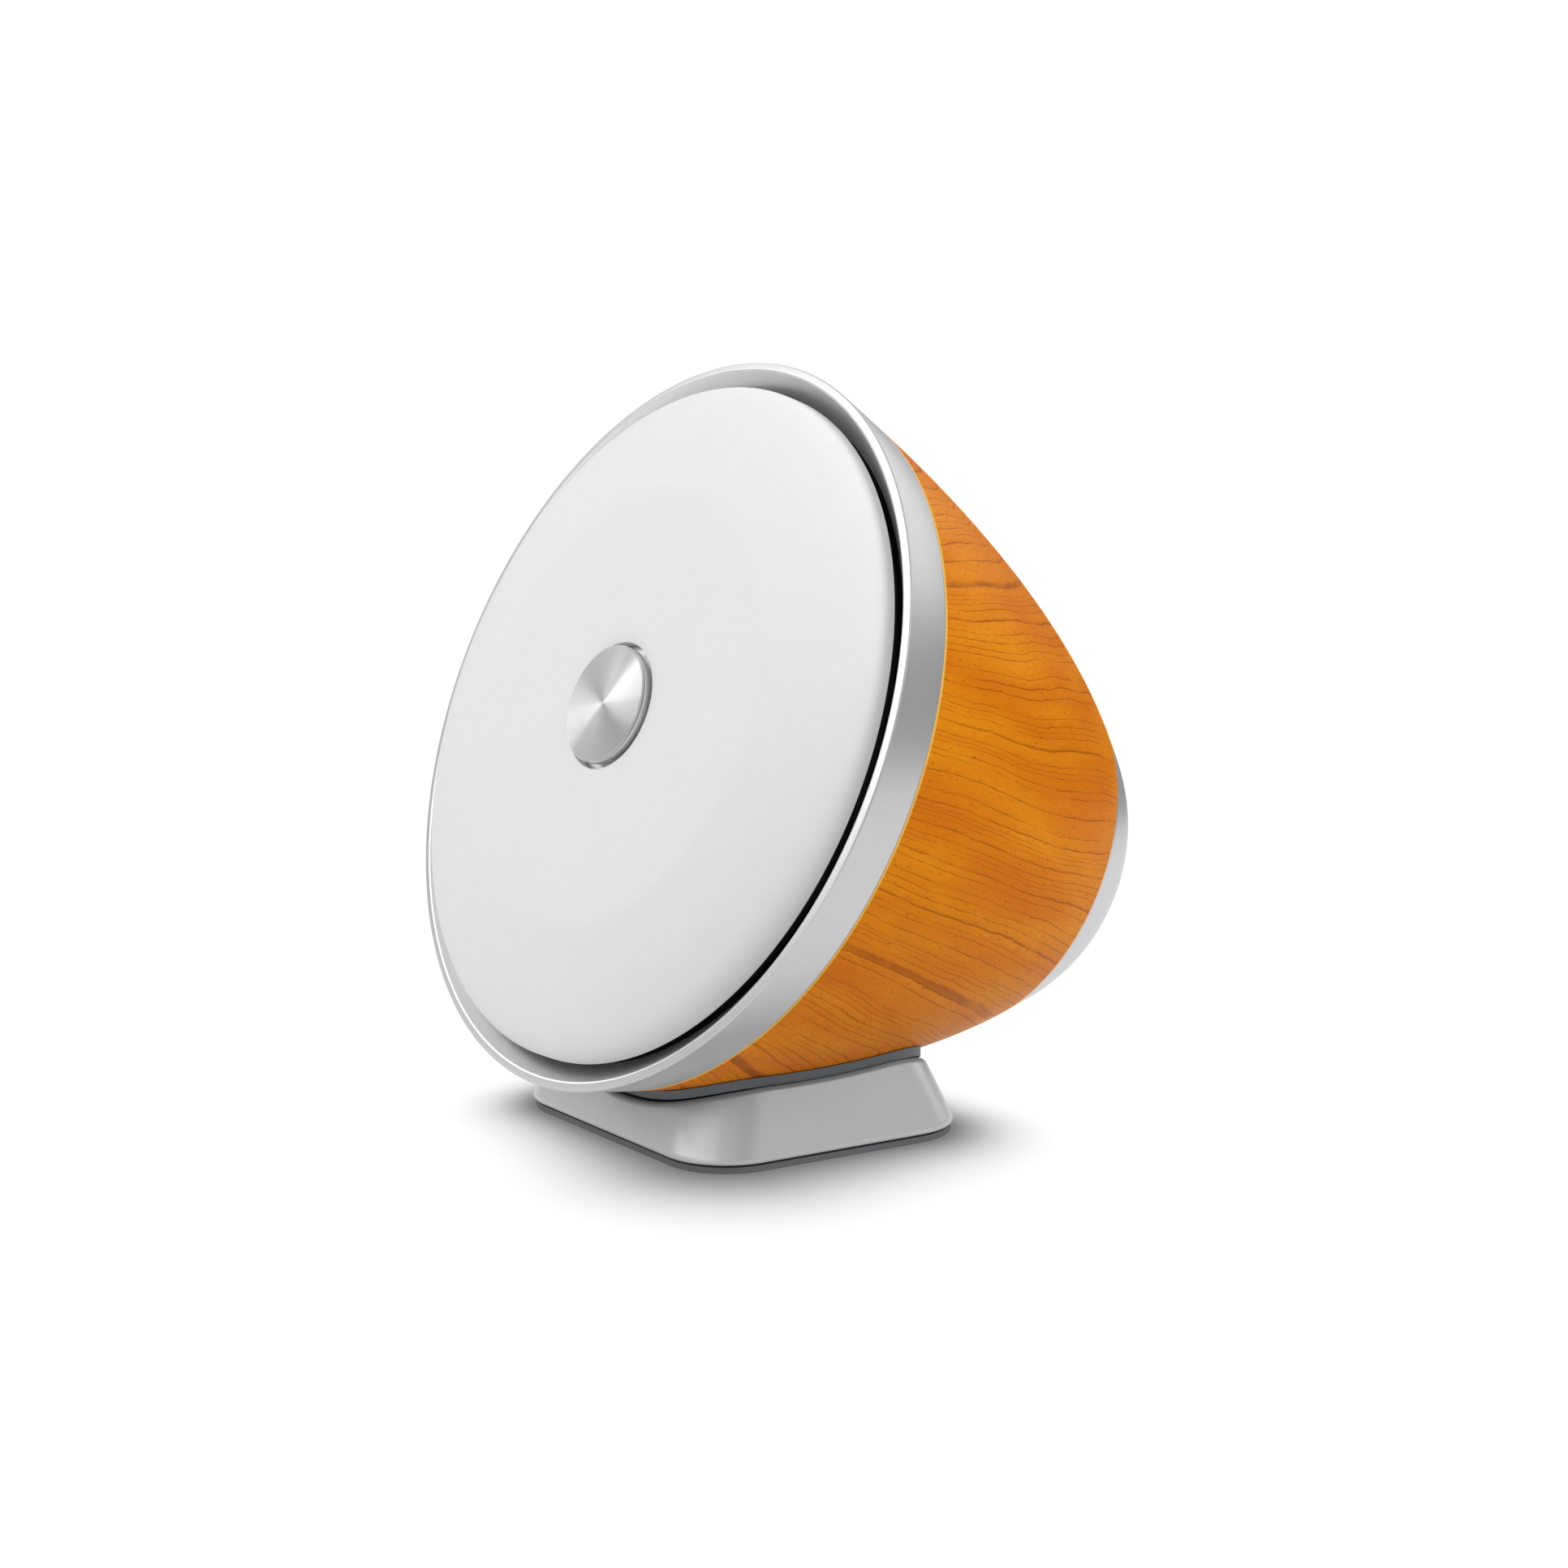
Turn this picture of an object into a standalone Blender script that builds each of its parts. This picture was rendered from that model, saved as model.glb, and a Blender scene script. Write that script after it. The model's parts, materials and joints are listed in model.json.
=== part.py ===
"""Desktop air quality monitor: a wooden cone body, tilted back on a low metal stand.

Frame: +Z up, front towards -Y, origin at the centre of the foot pad's underside.
The body's pieces are modelled about the body axis, in the frame of the empty
body_axis: its +Z points out of the face, its +Y up along the face, and its origin
is at the centre of the ring's front edge. Heights behind that edge are negative.
"""

import math

import bmesh
import bpy
import numpy as np
from mathutils import Matrix, Vector

MM = 0.001
GAP = 0.3 * MM

# Body placement
TILT_BACK = math.radians(24.27)
RING_CENTRE = Vector((0, -12.6, 55.2)) * MM

# Body outline: the ring's cone, then one curve for the wood and one for the rear cap
RING_RADIUS = 50.0 * MM
RING_DEPTH = 7.7 * MM
WOOD_FRONT_RADIUS = 47.78 * MM
WOOD_REAR_RADIUS = 24.45 * MM
WOOD_REAR = -58.8 * MM
WOOD_WALL = 2.2 * MM
CHASSIS_WALL = 1.4 * MM
CHASSIS_GAP = 0.6 * MM
CAP_REAR = -69.1 * MM
CAP_OPENING = 13.2 * MM
SEGMENTS = 40

# Ring and face
LIP_RADIUS = 49.0 * MM
LIP_HEIGHT = 0.34 * MM
TENON_OUTER = 44.2 * MM
TENON_INNER = 41.8 * MM
FLANGE_INNER = 37.5 * MM
FLANGE_FRONT = -8.9 * MM
FLANGE_REAR = -10.5 * MM
COVE_INNER = 45.4 * MM
COVE_DEPTH = -2.6 * MM
POCKET_FLOOR = -5.0 * MM
FACE_RADIUS = 46.1 * MM
FACE_WALL = 1.5 * MM
FACE_CENTRE_HEIGHT = 8.75 * MM
CARRIER_RADIUS = 44.2 * MM
CARRIER_REAR = -3.0 * MM
CARRIER_PLATE = 1.6 * MM
FRONT_SCREW_CIRCLE = 39.3 * MM

# Button
BUTTON_RADIUS = 8.0 * MM
BUTTON_HOLE = 8.65 * MM
BUTTON_TOP = 9.6 * MM
SWITCH_TOP = 5.4 * MM
STEM_BOTTOM = SWITCH_TOP + 0.9 * MM
FLANGE_TOP = 6.7 * MM
FLANGE_RADIUS = 9.6 * MM

# Boards and sensors
LED_BOARD_RADIUS = 34.0 * MM
LED_BOARD_REAR = 0.6 * MM
LED_BOARD_FRONT = 1.8 * MM
LED_COUNT = 6
LED_CIRCLE = 20.0 * MM
LED_SCREW_CIRCLE = 27.0 * MM
MAIN_BOARD_RADIUS = 33.0 * MM
MAIN_BOARD_REAR = -17.6 * MM
MAIN_BOARD_FRONT = -16.0 * MM
BOARD_SCREW_CIRCLE = 28.0 * MM
BULKHEAD_FRONT = -22.0 * MM
BULKHEAD_REAR = -24.0 * MM
SENSOR_WIDTH = 38.0 * MM
SENSOR_HEIGHT = 32.0 * MM
SENSOR_FRONT = BULKHEAD_REAR - GAP
SENSOR_REAR = -43.3 * MM
SENSOR_WALL = 1.4 * MM
SENSOR_INLET = Vector((12.0, 0)) * MM
FAN_RADIUS = 9.3 * MM
FAN_HUB = 4.2 * MM
FAN_BLADES = 7
CHASSIS_REAR = -54.0 * MM
REAR_SCREW_OFFSET = 10.8 * MM
GRILLE_FRONT = -65.9 * MM
GRILLE_REAR = -67.4 * MM
GRILLE_RADIUS = 14.3 * MM
SOCKET_DROP = 7.6 * MM

# Stand
PAD_TOP = 0.9 * MM
BASE_BOTTOM = 1.2 * MM
BASE_HALF_WIDTH = 24.6 * MM
BASE_HALF_DEPTH = 21.65 * MM
BASE_CORNER = 9.1 * MM
BASE_LEAN = 0.34
CRADLE_DROP = 1.8 * MM
POCKET_TOP = 3.2 * MM
NECK_INSET = 1.0 * MM
POST_RADIUS = 3.0 * MM
STAND_SCREW_PLACES = {"front": -4.0 * MM, "rear": 14.0 * MM}
STAND_BOSS_TOP = 16.0 * MM

PAINTS = {
    "silver_paint": ((0.62, 0.63, 0.65), 0.35, 0.8),
    "spun_aluminium": ((0.75, 0.75, 0.76), 0.25, 1.0),
    "wood_veneer": ((0.80, 0.36, 0.07), 0.4, 0.0),
    "white_face": ((0.84, 0.84, 0.85), 0.5, 0.0),
    "black_plastic": ((0.02, 0.02, 0.022), 0.6, 0.0),
    "grey_plastic": ((0.16, 0.17, 0.19), 0.55, 0.0),
    "frosted_plastic": ((0.85, 0.87, 0.88), 0.5, 0.0),
    "circuit_board": ((0.03, 0.20, 0.08), 0.45, 0.0),
    "steel": ((0.55, 0.56, 0.57), 0.35, 1.0),
    "rubber": ((0.10, 0.105, 0.11), 0.8, 0.0),
}


def clear_scene():
    for obj in list(bpy.data.objects):
        bpy.data.objects.remove(obj, do_unlink=True)


def make_material(name, colour, roughness, metallic):
    material = bpy.data.materials.new(name)
    material.use_nodes = True
    shader = material.node_tree.nodes["Principled BSDF"]
    shader.inputs["Base Color"].default_value = (*colour, 1.0)
    shader.inputs["Roughness"].default_value = roughness
    shader.inputs["Metallic"].default_value = metallic
    return material


def make_body_axis():
    axis = bpy.data.objects.new("body_axis", None)
    axis.location = RING_CENTRE
    axis.rotation_euler = (math.pi / 2 - TILT_BACK, 0, 0)
    bpy.context.collection.objects.link(axis)
    return axis


def bezier(start, handle_a, handle_b, end, steps):
    """Points along one cubic curve, both ends included."""
    points = []
    for i in range(steps + 1):
        t = i / steps
        s = 1 - t
        weights = (s**3, 3 * s * s * t, 3 * s * t * t, t**3)
        ends = (start, handle_a, handle_b, end)
        points.append(tuple(sum(w * p[k] for w, p in zip(weights, ends)) for k in (0, 1)))
    return points


def wood_curve(steps):
    """(radius, height) from the ring's back edge to the wood's rear edge."""
    start = (WOOD_FRONT_RADIUS, -RING_DEPTH)
    end = (WOOD_REAR_RADIUS, WOOD_REAR)
    return bezier(start, (42.6 * MM, -25.4 * MM), (34.8 * MM, -44.9 * MM), end, steps)


def cap_curve(steps):
    """(radius, height) from the wood's rear edge to the rear opening."""
    start = (WOOD_REAR_RADIUS, WOOD_REAR)
    end = (CAP_OPENING, CAP_REAR)
    return bezier(start, (21.8 * MM, -62.3 * MM), (17.8 * MM, -68.5 * MM), end, steps)


OUTLINE = np.array([(RING_RADIUS, 0.0)] + wood_curve(60) + cap_curve(20)[1:])


def outline_radius(height):
    """The body's outer radius at a height; heights run down the outline."""
    return float(np.interp(-height, -OUTLINE[:, 1], OUTLINE[:, 0]))


def underside(x, y, grow):
    """World height of the body's underside at (x, y), with the body grown by grow."""
    forward = Vector((0, -math.cos(TILT_BACK), math.sin(TILT_BACK)))
    low = -0.02
    high = 0.045
    for _ in range(40):
        middle = (low + high) / 2
        offset = Vector((x, y, middle)) - RING_CENTRE
        height = offset.dot(forward)
        radius = (offset - forward * height).length
        if radius > outline_radius(height) + grow:
            low = middle
        else:
            high = middle
    return (low + high) / 2


def finish_mesh(name, mesh_builder, material, parent, smooth_angle=35):
    """Turns a bmesh into a named object with outward faces and its material."""
    loose = [point for point in mesh_builder.verts if not point.link_faces]
    bmesh.ops.delete(mesh_builder, geom=loose, context="VERTS")
    bmesh.ops.recalc_face_normals(mesh_builder, faces=mesh_builder.faces)
    mesh = bpy.data.meshes.new(name)
    mesh_builder.to_mesh(mesh)
    mesh_builder.free()
    mesh.materials.append(material)
    mesh.shade_smooth()
    mesh.set_sharp_from_angle(angle=math.radians(smooth_angle))
    obj = bpy.data.objects.new(name, mesh)
    obj.parent = parent
    bpy.context.collection.objects.link(obj)
    return obj


def lathe(name, profile, material, parent, segments=SEGMENTS, centre=(0, 0), first_angle=0.0):
    """Turns a closed (radius, height) profile about +Z; a radius of 0 is a pole."""
    builder = bmesh.new()
    columns = []
    for radius, height in profile:
        if radius < 1e-7:
            pole = builder.verts.new((centre[0], centre[1], height))
            columns.append([pole] * segments)
            continue
        ring = []
        for i in range(segments):
            angle = first_angle + 2 * math.pi * i / segments
            x = centre[0] + radius * math.cos(angle)
            y = centre[1] + radius * math.sin(angle)
            ring.append(builder.verts.new((x, y, height)))
        columns.append(ring)
    join_rings(builder, columns + [columns[0]], segments)
    return finish_mesh(name, builder, material, parent)


def join_rings(builder, rings, count):
    """Faces between neighbouring rings; a ring may be one pole point repeated.

    A ring and a pole at one height make a single flat face, and the pole goes.
    """
    for first, second in zip(rings, rings[1:]):
        pole, ring = (first, second) if first[0] is first[1] else (second, first)
        if pole[0] is pole[1] and ring[0] is not ring[1]:
            if all(abs(point.co.z - pole[0].co.z) < 1e-7 for point in ring):
                builder.faces.new(ring)
                continue
        for i in range(count):
            j = (i + 1) % count
            corners = [first[i], first[j], second[j], second[i]]
            unique = list(dict.fromkeys(corners))
            if len(unique) > 2:
                builder.faces.new(unique)


def cylinder(name, radius, bottom, top, material, parent, centre=(0, 0), segments=16):
    """An upright cylinder, turned a little so that its points miss its neighbours' edges."""
    profile = [(0, top), (radius, top), (radius, bottom), (0, bottom)]
    return lathe(name, profile, material, parent, segments, centre, math.radians(5))


def tube(name, inner, outer, bottom, top, material, parent, centre=(0, 0), segments=24):
    profile = [(inner, top), (outer, top), (outer, bottom), (inner, bottom)]
    return lathe(name, profile, material, parent, segments, centre)


def box(name, low, high, material, parent, bevel=0.0):
    """An upright box between two corners, with its edges cut back by bevel."""
    builder = bmesh.new()
    bmesh.ops.create_cube(builder, size=1.0)
    size = Vector(high) - Vector(low)
    middle = (Vector(high) + Vector(low)) / 2
    placing = Matrix.Translation(middle) @ Matrix.Diagonal((*size, 1))
    bmesh.ops.transform(builder, matrix=placing, verts=builder.verts)
    if bevel:
        bmesh.ops.bevel(builder, geom=builder.edges, offset=bevel, segments=1, affect="EDGES")
    return finish_mesh(name, builder, material, parent)


def rounded_outline(half_width, half_depth, corner, corner_steps=4, side_steps=5):
    """Points around a rounded rectangle, anticlockwise, with points along its sides."""
    points = []
    quarter_centres = ((1, -1), (1, 1), (-1, 1), (-1, -1))
    for k, (sx, sy) in enumerate(quarter_centres):
        centre = Vector((sx * (half_width - corner), sy * (half_depth - corner)))
        for i in range(corner_steps + 1):
            angle = math.pi / 2 * (k - 1 + i / corner_steps)
            points.append(centre + corner * Vector((math.cos(angle), math.sin(angle))))
        nx, ny = quarter_centres[(k + 1) % 4]
        next_centre = Vector((nx * (half_width - corner), ny * (half_depth - corner)))
        turn = math.pi / 2 * k
        next_start = next_centre + corner * Vector((math.cos(turn), math.sin(turn)))
        last = points[-1]
        for i in range(1, side_steps):
            points.append(last.lerp(next_start, i / side_steps))
    return points


def base_outline(inset):
    corner = max(BASE_CORNER - inset, 1 * MM)
    return rounded_outline(BASE_HALF_WIDTH - inset, BASE_HALF_DEPTH - inset, corner)


def stack(name, levels, material, parent=None):
    """A closed solid from rings of points; the first and the last ring shrink to a pole."""
    builder = bmesh.new()
    count = len(levels[1])
    rings = []
    for level in levels:
        if len(level) == 1:
            rings.append([builder.verts.new(level[0])] * count)
        else:
            rings.append([builder.verts.new(point) for point in level])
    join_rings(builder, rings, count)
    return finish_mesh(name, builder, material, parent)


def saddle_edge(base_height, lean, inset, grow):
    """Where a leaning side wall meets the grown body, for each point of the outline."""
    edge = []
    for point in base_outline(inset):
        height = base_height
        for _ in range(6):
            inward = lean * (height - base_height)
            x = point.x - math.copysign(min(inward, abs(point.x)), point.x)
            y = point.y - math.copysign(min(inward, abs(point.y)), point.y)
            height = underside(x, y, grow)
        edge.append(Vector((x, y, height)))
    return edge


def saddle_rings(edge, grow, scales):
    """Rings inside an edge that follow the grown body, down to one centre point."""
    rings = []
    for scale in scales:
        ring = []
        for point in edge:
            x = point.x * scale
            y = point.y * scale
            ring.append(Vector((x, y, underside(x, y, grow))))
        rings.append(ring)
    return rings + [[Vector((0, 0, underside(0, 0, grow)))]]


def boolean(obj, tool, operation):
    tool.hide_render = True
    tool.display_type = "WIRE"
    modifier = obj.modifiers.new(operation.lower() + "_" + tool.name, "BOOLEAN")
    modifier.operation = operation
    modifier.solver = "EXACT"
    modifier.object = tool


def bore(obj, name, radius, low, high, parent, centre, segments=16):
    """A round hole through obj along Z, between two heights."""
    tool = cylinder(name, radius, low, high, obj.data.materials[0], parent, centre, segments)
    boolean(obj, tool, "DIFFERENCE")


def boss(obj, name, radius, low, high, parent, centre):
    """A round post added to obj along Z, between two heights."""
    tool = cylinder(name, radius, low, high, obj.data.materials[0], parent, centre)
    boolean(obj, tool, "UNION")


def on_circle(radius, degrees):
    angle = math.radians(degrees)
    return Vector((radius * math.cos(angle), radius * math.sin(angle)))


def screw(name, centre, head_radius, head_low, head_high, tip, shank_radius, material, parent):
    """A pan-head screw along Z: the head between two heights, the shank from it to tip."""
    if tip > head_high:
        profile = [(0, tip), (shank_radius, tip), (shank_radius, head_high), (head_radius, head_high)]
        profile += [(head_radius, head_low), (0, head_low)]
    else:
        profile = [(0, head_high), (head_radius, head_high), (head_radius, head_low)]
        profile += [(shank_radius, head_low), (shank_radius, tip), (0, tip)]
    return lathe(name, profile, material, parent, 12, centre)


def make_bezel_ring(paint, axis):
    profile = [
        (LIP_RADIUS, LIP_HEIGHT),
        (RING_RADIUS - 0.15 * MM, 0.12 * MM),
        (RING_RADIUS, -0.3 * MM),
        (WOOD_FRONT_RADIUS, -RING_DEPTH),
        (TENON_OUTER, -RING_DEPTH),
        (TENON_OUTER, FLANGE_REAR),
        (FLANGE_INNER, FLANGE_REAR),
        (FLANGE_INNER, FLANGE_FRONT),
        (TENON_INNER, FLANGE_FRONT),
        (TENON_INNER, POCKET_FLOOR),
        (COVE_INNER, POCKET_FLOOR),
    ]
    cove_end = (COVE_INNER, COVE_DEPTH)
    cove_start = (LIP_RADIUS - 0.25 * MM, LIP_HEIGHT - 0.06 * MM)
    profile += bezier(cove_end, (46.6 * MM, -2.0 * MM), (47.9 * MM, -0.75 * MM), cove_start, 4)
    ring = lathe("bezel_ring", profile, paint["silver_paint"], axis)
    for i, place in enumerate(front_screw_places()):
        bore(ring, f"ring_hole_{i}", 1.4 * MM, -12 * MM, -8 * MM, axis, place)


def front_screw_places():
    return [on_circle(FRONT_SCREW_CIRCLE, degrees) for degrees in (90, 210, 330)]


def make_wood_shell(paint, axis):
    outer = wood_curve(8)
    outer[0] = (outer[0][0], outer[0][1] - GAP)
    outer[-1] = (outer[-1][0], outer[-1][1] + GAP)
    inner = [(radius - WOOD_WALL, height) for radius, height in reversed(outer[::2])]
    shell = lathe("wood_shell", outer + inner, paint["wood_veneer"], axis)
    for side, y in STAND_SCREW_PLACES.items():
        bore(shell, f"wood_hole_{side}", POST_RADIUS + 0.4 * MM, 2 * MM, 20 * MM, None, (0, y))


def make_chassis(paint, axis):
    front = FLANGE_REAR - GAP
    flange_rear = -12.6 * MM
    bend = -41 * MM
    heights = [flange_rear, -26 * MM, bend, CHASSIS_REAR]
    outer_gap = WOOD_WALL + CHASSIS_GAP
    inner_gap = outer_gap + CHASSIS_WALL
    rear_opening = 8.2 * MM
    rear_inside = CHASSIS_REAR + 1.6 * MM
    profile = [(FLANGE_INNER, front), (outline_radius(flange_rear) - outer_gap, front)]
    profile += [(outline_radius(height) - outer_gap, height) for height in heights]
    profile += [(rear_opening, CHASSIS_REAR), (rear_opening, rear_inside)]
    for height in (rear_inside, bend, BULKHEAD_REAR):
        profile.append((outline_radius(height) - inner_gap, height))
    profile += [(0, BULKHEAD_REAR), (0, BULKHEAD_FRONT)]
    profile.append((outline_radius(BULKHEAD_FRONT) - inner_gap, BULKHEAD_FRONT))
    profile.append((outline_radius(flange_rear) - inner_gap, flange_rear))
    profile.append((FLANGE_INNER, flange_rear))
    chassis = lathe("chassis", profile, paint["black_plastic"], axis)
    for i, place in enumerate(board_screw_places()):
        top = MAIN_BOARD_REAR - GAP
        boss(chassis, f"board_post_{i}", 2.2 * MM, BULKHEAD_FRONT - 1 * MM, top, axis, place)
        bore(chassis, f"board_bore_{i}", 1.1 * MM, BULKHEAD_FRONT + 0.5 * MM, top + 2 * MM, axis, place)
    for side, y in STAND_SCREW_PLACES.items():
        bottom = underside(0, y, -WOOD_WALL - CHASSIS_GAP - CHASSIS_WALL / 2)
        boss(chassis, f"stand_boss_{side}", 3.2 * MM, bottom, STAND_BOSS_TOP, None, (0, y))
        bore(chassis, f"stand_bore_{side}", 1.5 * MM, 5 * MM, STAND_BOSS_TOP - 1 * MM, None, (0, y))
    for i, place in enumerate(front_screw_places()):
        bore(chassis, f"flange_hole_{i}", 1.4 * MM, -14 * MM, -10 * MM, axis, place)
    through = (-26 * MM, -20 * MM)
    for i, degrees in enumerate((30, 90, 150)):
        bore(chassis, f"bulkhead_vent_{i}", 3.0 * MM, *through, axis, on_circle(31 * MM, degrees))
    bore(chassis, "bulkhead_inlet", 3.5 * MM, *through, axis, SENSOR_INLET)
    for i, x in enumerate((-REAR_SCREW_OFFSET, REAR_SCREW_OFFSET)):
        bore(chassis, f"rear_flange_hole_{i}", 1.3 * MM, -56 * MM, -50 * MM, axis, (x, 0))


def board_screw_places():
    return [on_circle(BOARD_SCREW_CIRCLE, degrees) for degrees in (60, 180, 300)]


def make_rear_cap(paint, axis):
    outer = cap_curve(5)
    tenon = WOOD_REAR_RADIUS - WOOD_WALL - GAP
    profile = [(tenon, WOOD_REAR + 3.5 * MM), (tenon, WOOD_REAR)] + outer
    profile += [(CAP_OPENING, CAP_REAR + 1.2 * MM)]
    profile += [(14.9 * MM, CAP_REAR + 1.4 * MM), (18.8 * MM, -63.6 * MM)]
    profile += [(tenon - 1.6 * MM, WOOD_REAR), (tenon - 1.6 * MM, WOOD_REAR + 3.5 * MM)]
    lathe("rear_cap", profile, paint["silver_paint"], axis)


def make_rear_grille(paint, axis):
    plastic = paint["black_plastic"]
    grille = cylinder("rear_grille", GRILLE_RADIUS, GRILLE_REAR, GRILLE_FRONT, plastic, axis, segments=32)
    low = GRILLE_REAR - 1 * MM
    high = GRILLE_FRONT + 1 * MM
    slot = Vector((7.0, 0.8)) * MM
    for i in range(4):
        y = (8.2 - 3.4 * i) * MM
        corners = (-slot.x, y - slot.y, low), (slot.x, y + slot.y, high)
        boolean(grille, box(f"grille_slot_{i}", *corners, plastic, axis), "DIFFERENCE")
    half = Vector((4.2, 1.9)) * MM
    corners = (-half.x, -SOCKET_DROP - half.y, low), (half.x, -SOCKET_DROP + half.y, high)
    boolean(grille, box("grille_socket_hole", *corners, plastic, axis), "DIFFERENCE")
    head_high = GRILLE_REAR - 0.2 * MM
    head_low = head_high - 0.9 * MM
    tip = CHASSIS_REAR + 1.2 * MM
    for i, x in enumerate((-REAR_SCREW_OFFSET, REAR_SCREW_OFFSET)):
        bore(grille, f"grille_hole_{i}", 1.4 * MM, low, high, axis, (x, 0), 12)
        name = f"rear_screw_{i + 1}"
        screw(name, (x, 0), 1.9 * MM, head_low, head_high, tip, 1.0 * MM, paint["steel"], axis)


def make_power_inlet(paint, axis):
    half = Vector((3.8, 1.5)) * MM
    wall = 0.35 * MM
    front = GRILLE_REAR + 6.0 * MM
    low = (-half.x, -SOCKET_DROP - half.y, GRILLE_REAR)
    high = (half.x, -SOCKET_DROP + half.y, front)
    socket = box("power_socket", low, high, paint["steel"], axis)
    inside_low = (-half.x + wall, -SOCKET_DROP - half.y + wall, GRILLE_REAR - 1 * MM)
    inside_high = (half.x - wall, -SOCKET_DROP + half.y - wall, front - wall)
    boolean(socket, box("socket_mouth", inside_low, inside_high, paint["steel"], axis), "DIFFERENCE")
    top = -SOCKET_DROP - half.y - 0.2 * MM
    board_low = (-7 * MM, top - 1.2 * MM, GRILLE_FRONT + 0.4 * MM)
    board_high = (7 * MM, top, GRILLE_FRONT + 9 * MM)
    box("power_board", board_low, board_high, paint["circuit_board"], axis)


def face_curve(offset, steps):
    """(radius, height) down the face's outer side, moved in by offset."""
    shoulder = 42.0 * MM
    centre = (BUTTON_HOLE, FACE_CENTRE_HEIGHT - offset)
    join = (shoulder - offset * 0.45, 4.6 * MM - offset * 0.9)
    rim = (FACE_RADIUS - offset, 1.2 * MM - offset * 0.3)
    crown = bezier(centre, (21.3 * MM, 8.9 * MM - offset), (32.0 * MM, 9.4 * MM - offset), join, steps)
    handle_a = (join[0] + 2.2 * MM, join[1] - 0.8 * MM)
    handle_b = (rim[0] + 0.05 * MM, rim[1] + 1.4 * MM)
    return crown + bezier(join, handle_a, handle_b, rim, 3)[1:]


def make_face_panel(paint, axis):
    rim_rear = -0.7 * MM
    outer = face_curve(0, 6) + [(FACE_RADIUS, rim_rear)]
    inner = [(FACE_RADIUS - FACE_WALL, rim_rear)] + face_curve(FACE_WALL, 4)[::-1]
    lathe("face_panel", outer + inner, paint["white_face"], axis)


def make_intake_liner(paint, axis):
    outer = COVE_INNER - GAP
    inner = TENON_INNER + GAP
    low = POCKET_FLOOR + GAP
    profile = [(inner, low), (inner, low + 1.0 * MM), (outer, low + 1.2 * MM), (outer, low)]
    lathe("intake_liner", profile, paint["black_plastic"], axis)


def make_face_carrier(paint, axis):
    plate_front = CARRIER_REAR + CARRIER_PLATE
    rim_front = 0.4 * MM
    rim_inner = CARRIER_RADIUS - 1.4 * MM
    profile = [(0, plate_front), (rim_inner, plate_front), (rim_inner, rim_front)]
    profile += [(CARRIER_RADIUS, rim_front), (CARRIER_RADIUS, CARRIER_REAR), (0, CARRIER_REAR)]
    plastic = paint["black_plastic"]
    carrier = lathe("face_carrier", profile, plastic, axis)
    inside_plate = CARRIER_REAR + 1 * MM
    for i, place in enumerate(front_screw_places()):
        boss(carrier, f"carrier_leg_{i}", 2.3 * MM, FLANGE_FRONT + GAP, inside_plate, axis, place)
        bore(carrier, f"leg_bore_{i}", 1.2 * MM, -10 * MM, CARRIER_REAR - 0.4 * MM, axis, place, 12)
    for i, place in enumerate(led_screw_places()):
        boss(carrier, f"led_post_{i}", 2.0 * MM, inside_plate, LED_BOARD_REAR - GAP, axis, place)
        bore(carrier, f"led_bore_{i}", 0.9 * MM, -2.2 * MM, 2 * MM, axis, place, 12)
    slot = box("ribbon_slot", (-5.2 * MM, 11 * MM, -5 * MM), (5.2 * MM, 13.4 * MM, 0), plastic, axis)
    boolean(carrier, slot, "DIFFERENCE")
    head_high = -12.9 * MM
    head_low = head_high - 1.4 * MM
    tip = -4.2 * MM
    for i, place in enumerate(front_screw_places()):
        name = f"front_screw_{i + 1}"
        screw(name, place, 2.2 * MM, head_low, head_high, tip, 0.9 * MM, paint["steel"], axis)


def led_screw_places():
    return [on_circle(LED_SCREW_CIRCLE, degrees) for degrees in (0, 180)]


def make_led_board(paint, axis):
    green = paint["circuit_board"]
    low = LED_BOARD_REAR
    board = cylinder("led_board", LED_BOARD_RADIUS, low, LED_BOARD_FRONT, green, axis, segments=32)
    head_low = LED_BOARD_FRONT + 0.2 * MM
    head_high = head_low + 0.9 * MM
    tip = -1.6 * MM
    for i, place in enumerate(led_screw_places()):
        bore(board, f"led_board_hole_{i}", 1.0 * MM, -1 * MM, 3 * MM, axis, place, 12)
        name = f"led_board_screw_{i + 1}"
        screw(name, place, 1.6 * MM, head_low, head_high, tip, 0.7 * MM, paint["steel"], axis)
    half = 1.75 * MM
    for i in range(LED_COUNT):
        x, y = on_circle(LED_CIRCLE, 30 + i * 360 / LED_COUNT)
        low = (x - half, y - half, LED_BOARD_FRONT + 0.2 * MM)
        high = (x + half, y + half, LED_BOARD_FRONT + 1.4 * MM)
        box(f"led_{i + 1}", low, high, paint["frosted_plastic"], axis, bevel=0.3 * MM)
    frosted = paint["frosted_plastic"]
    tube("light_diffuser", 10.8 * MM, 31.5 * MM, 4.8 * MM, 5.7 * MM, frosted, axis, segments=28)


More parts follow.
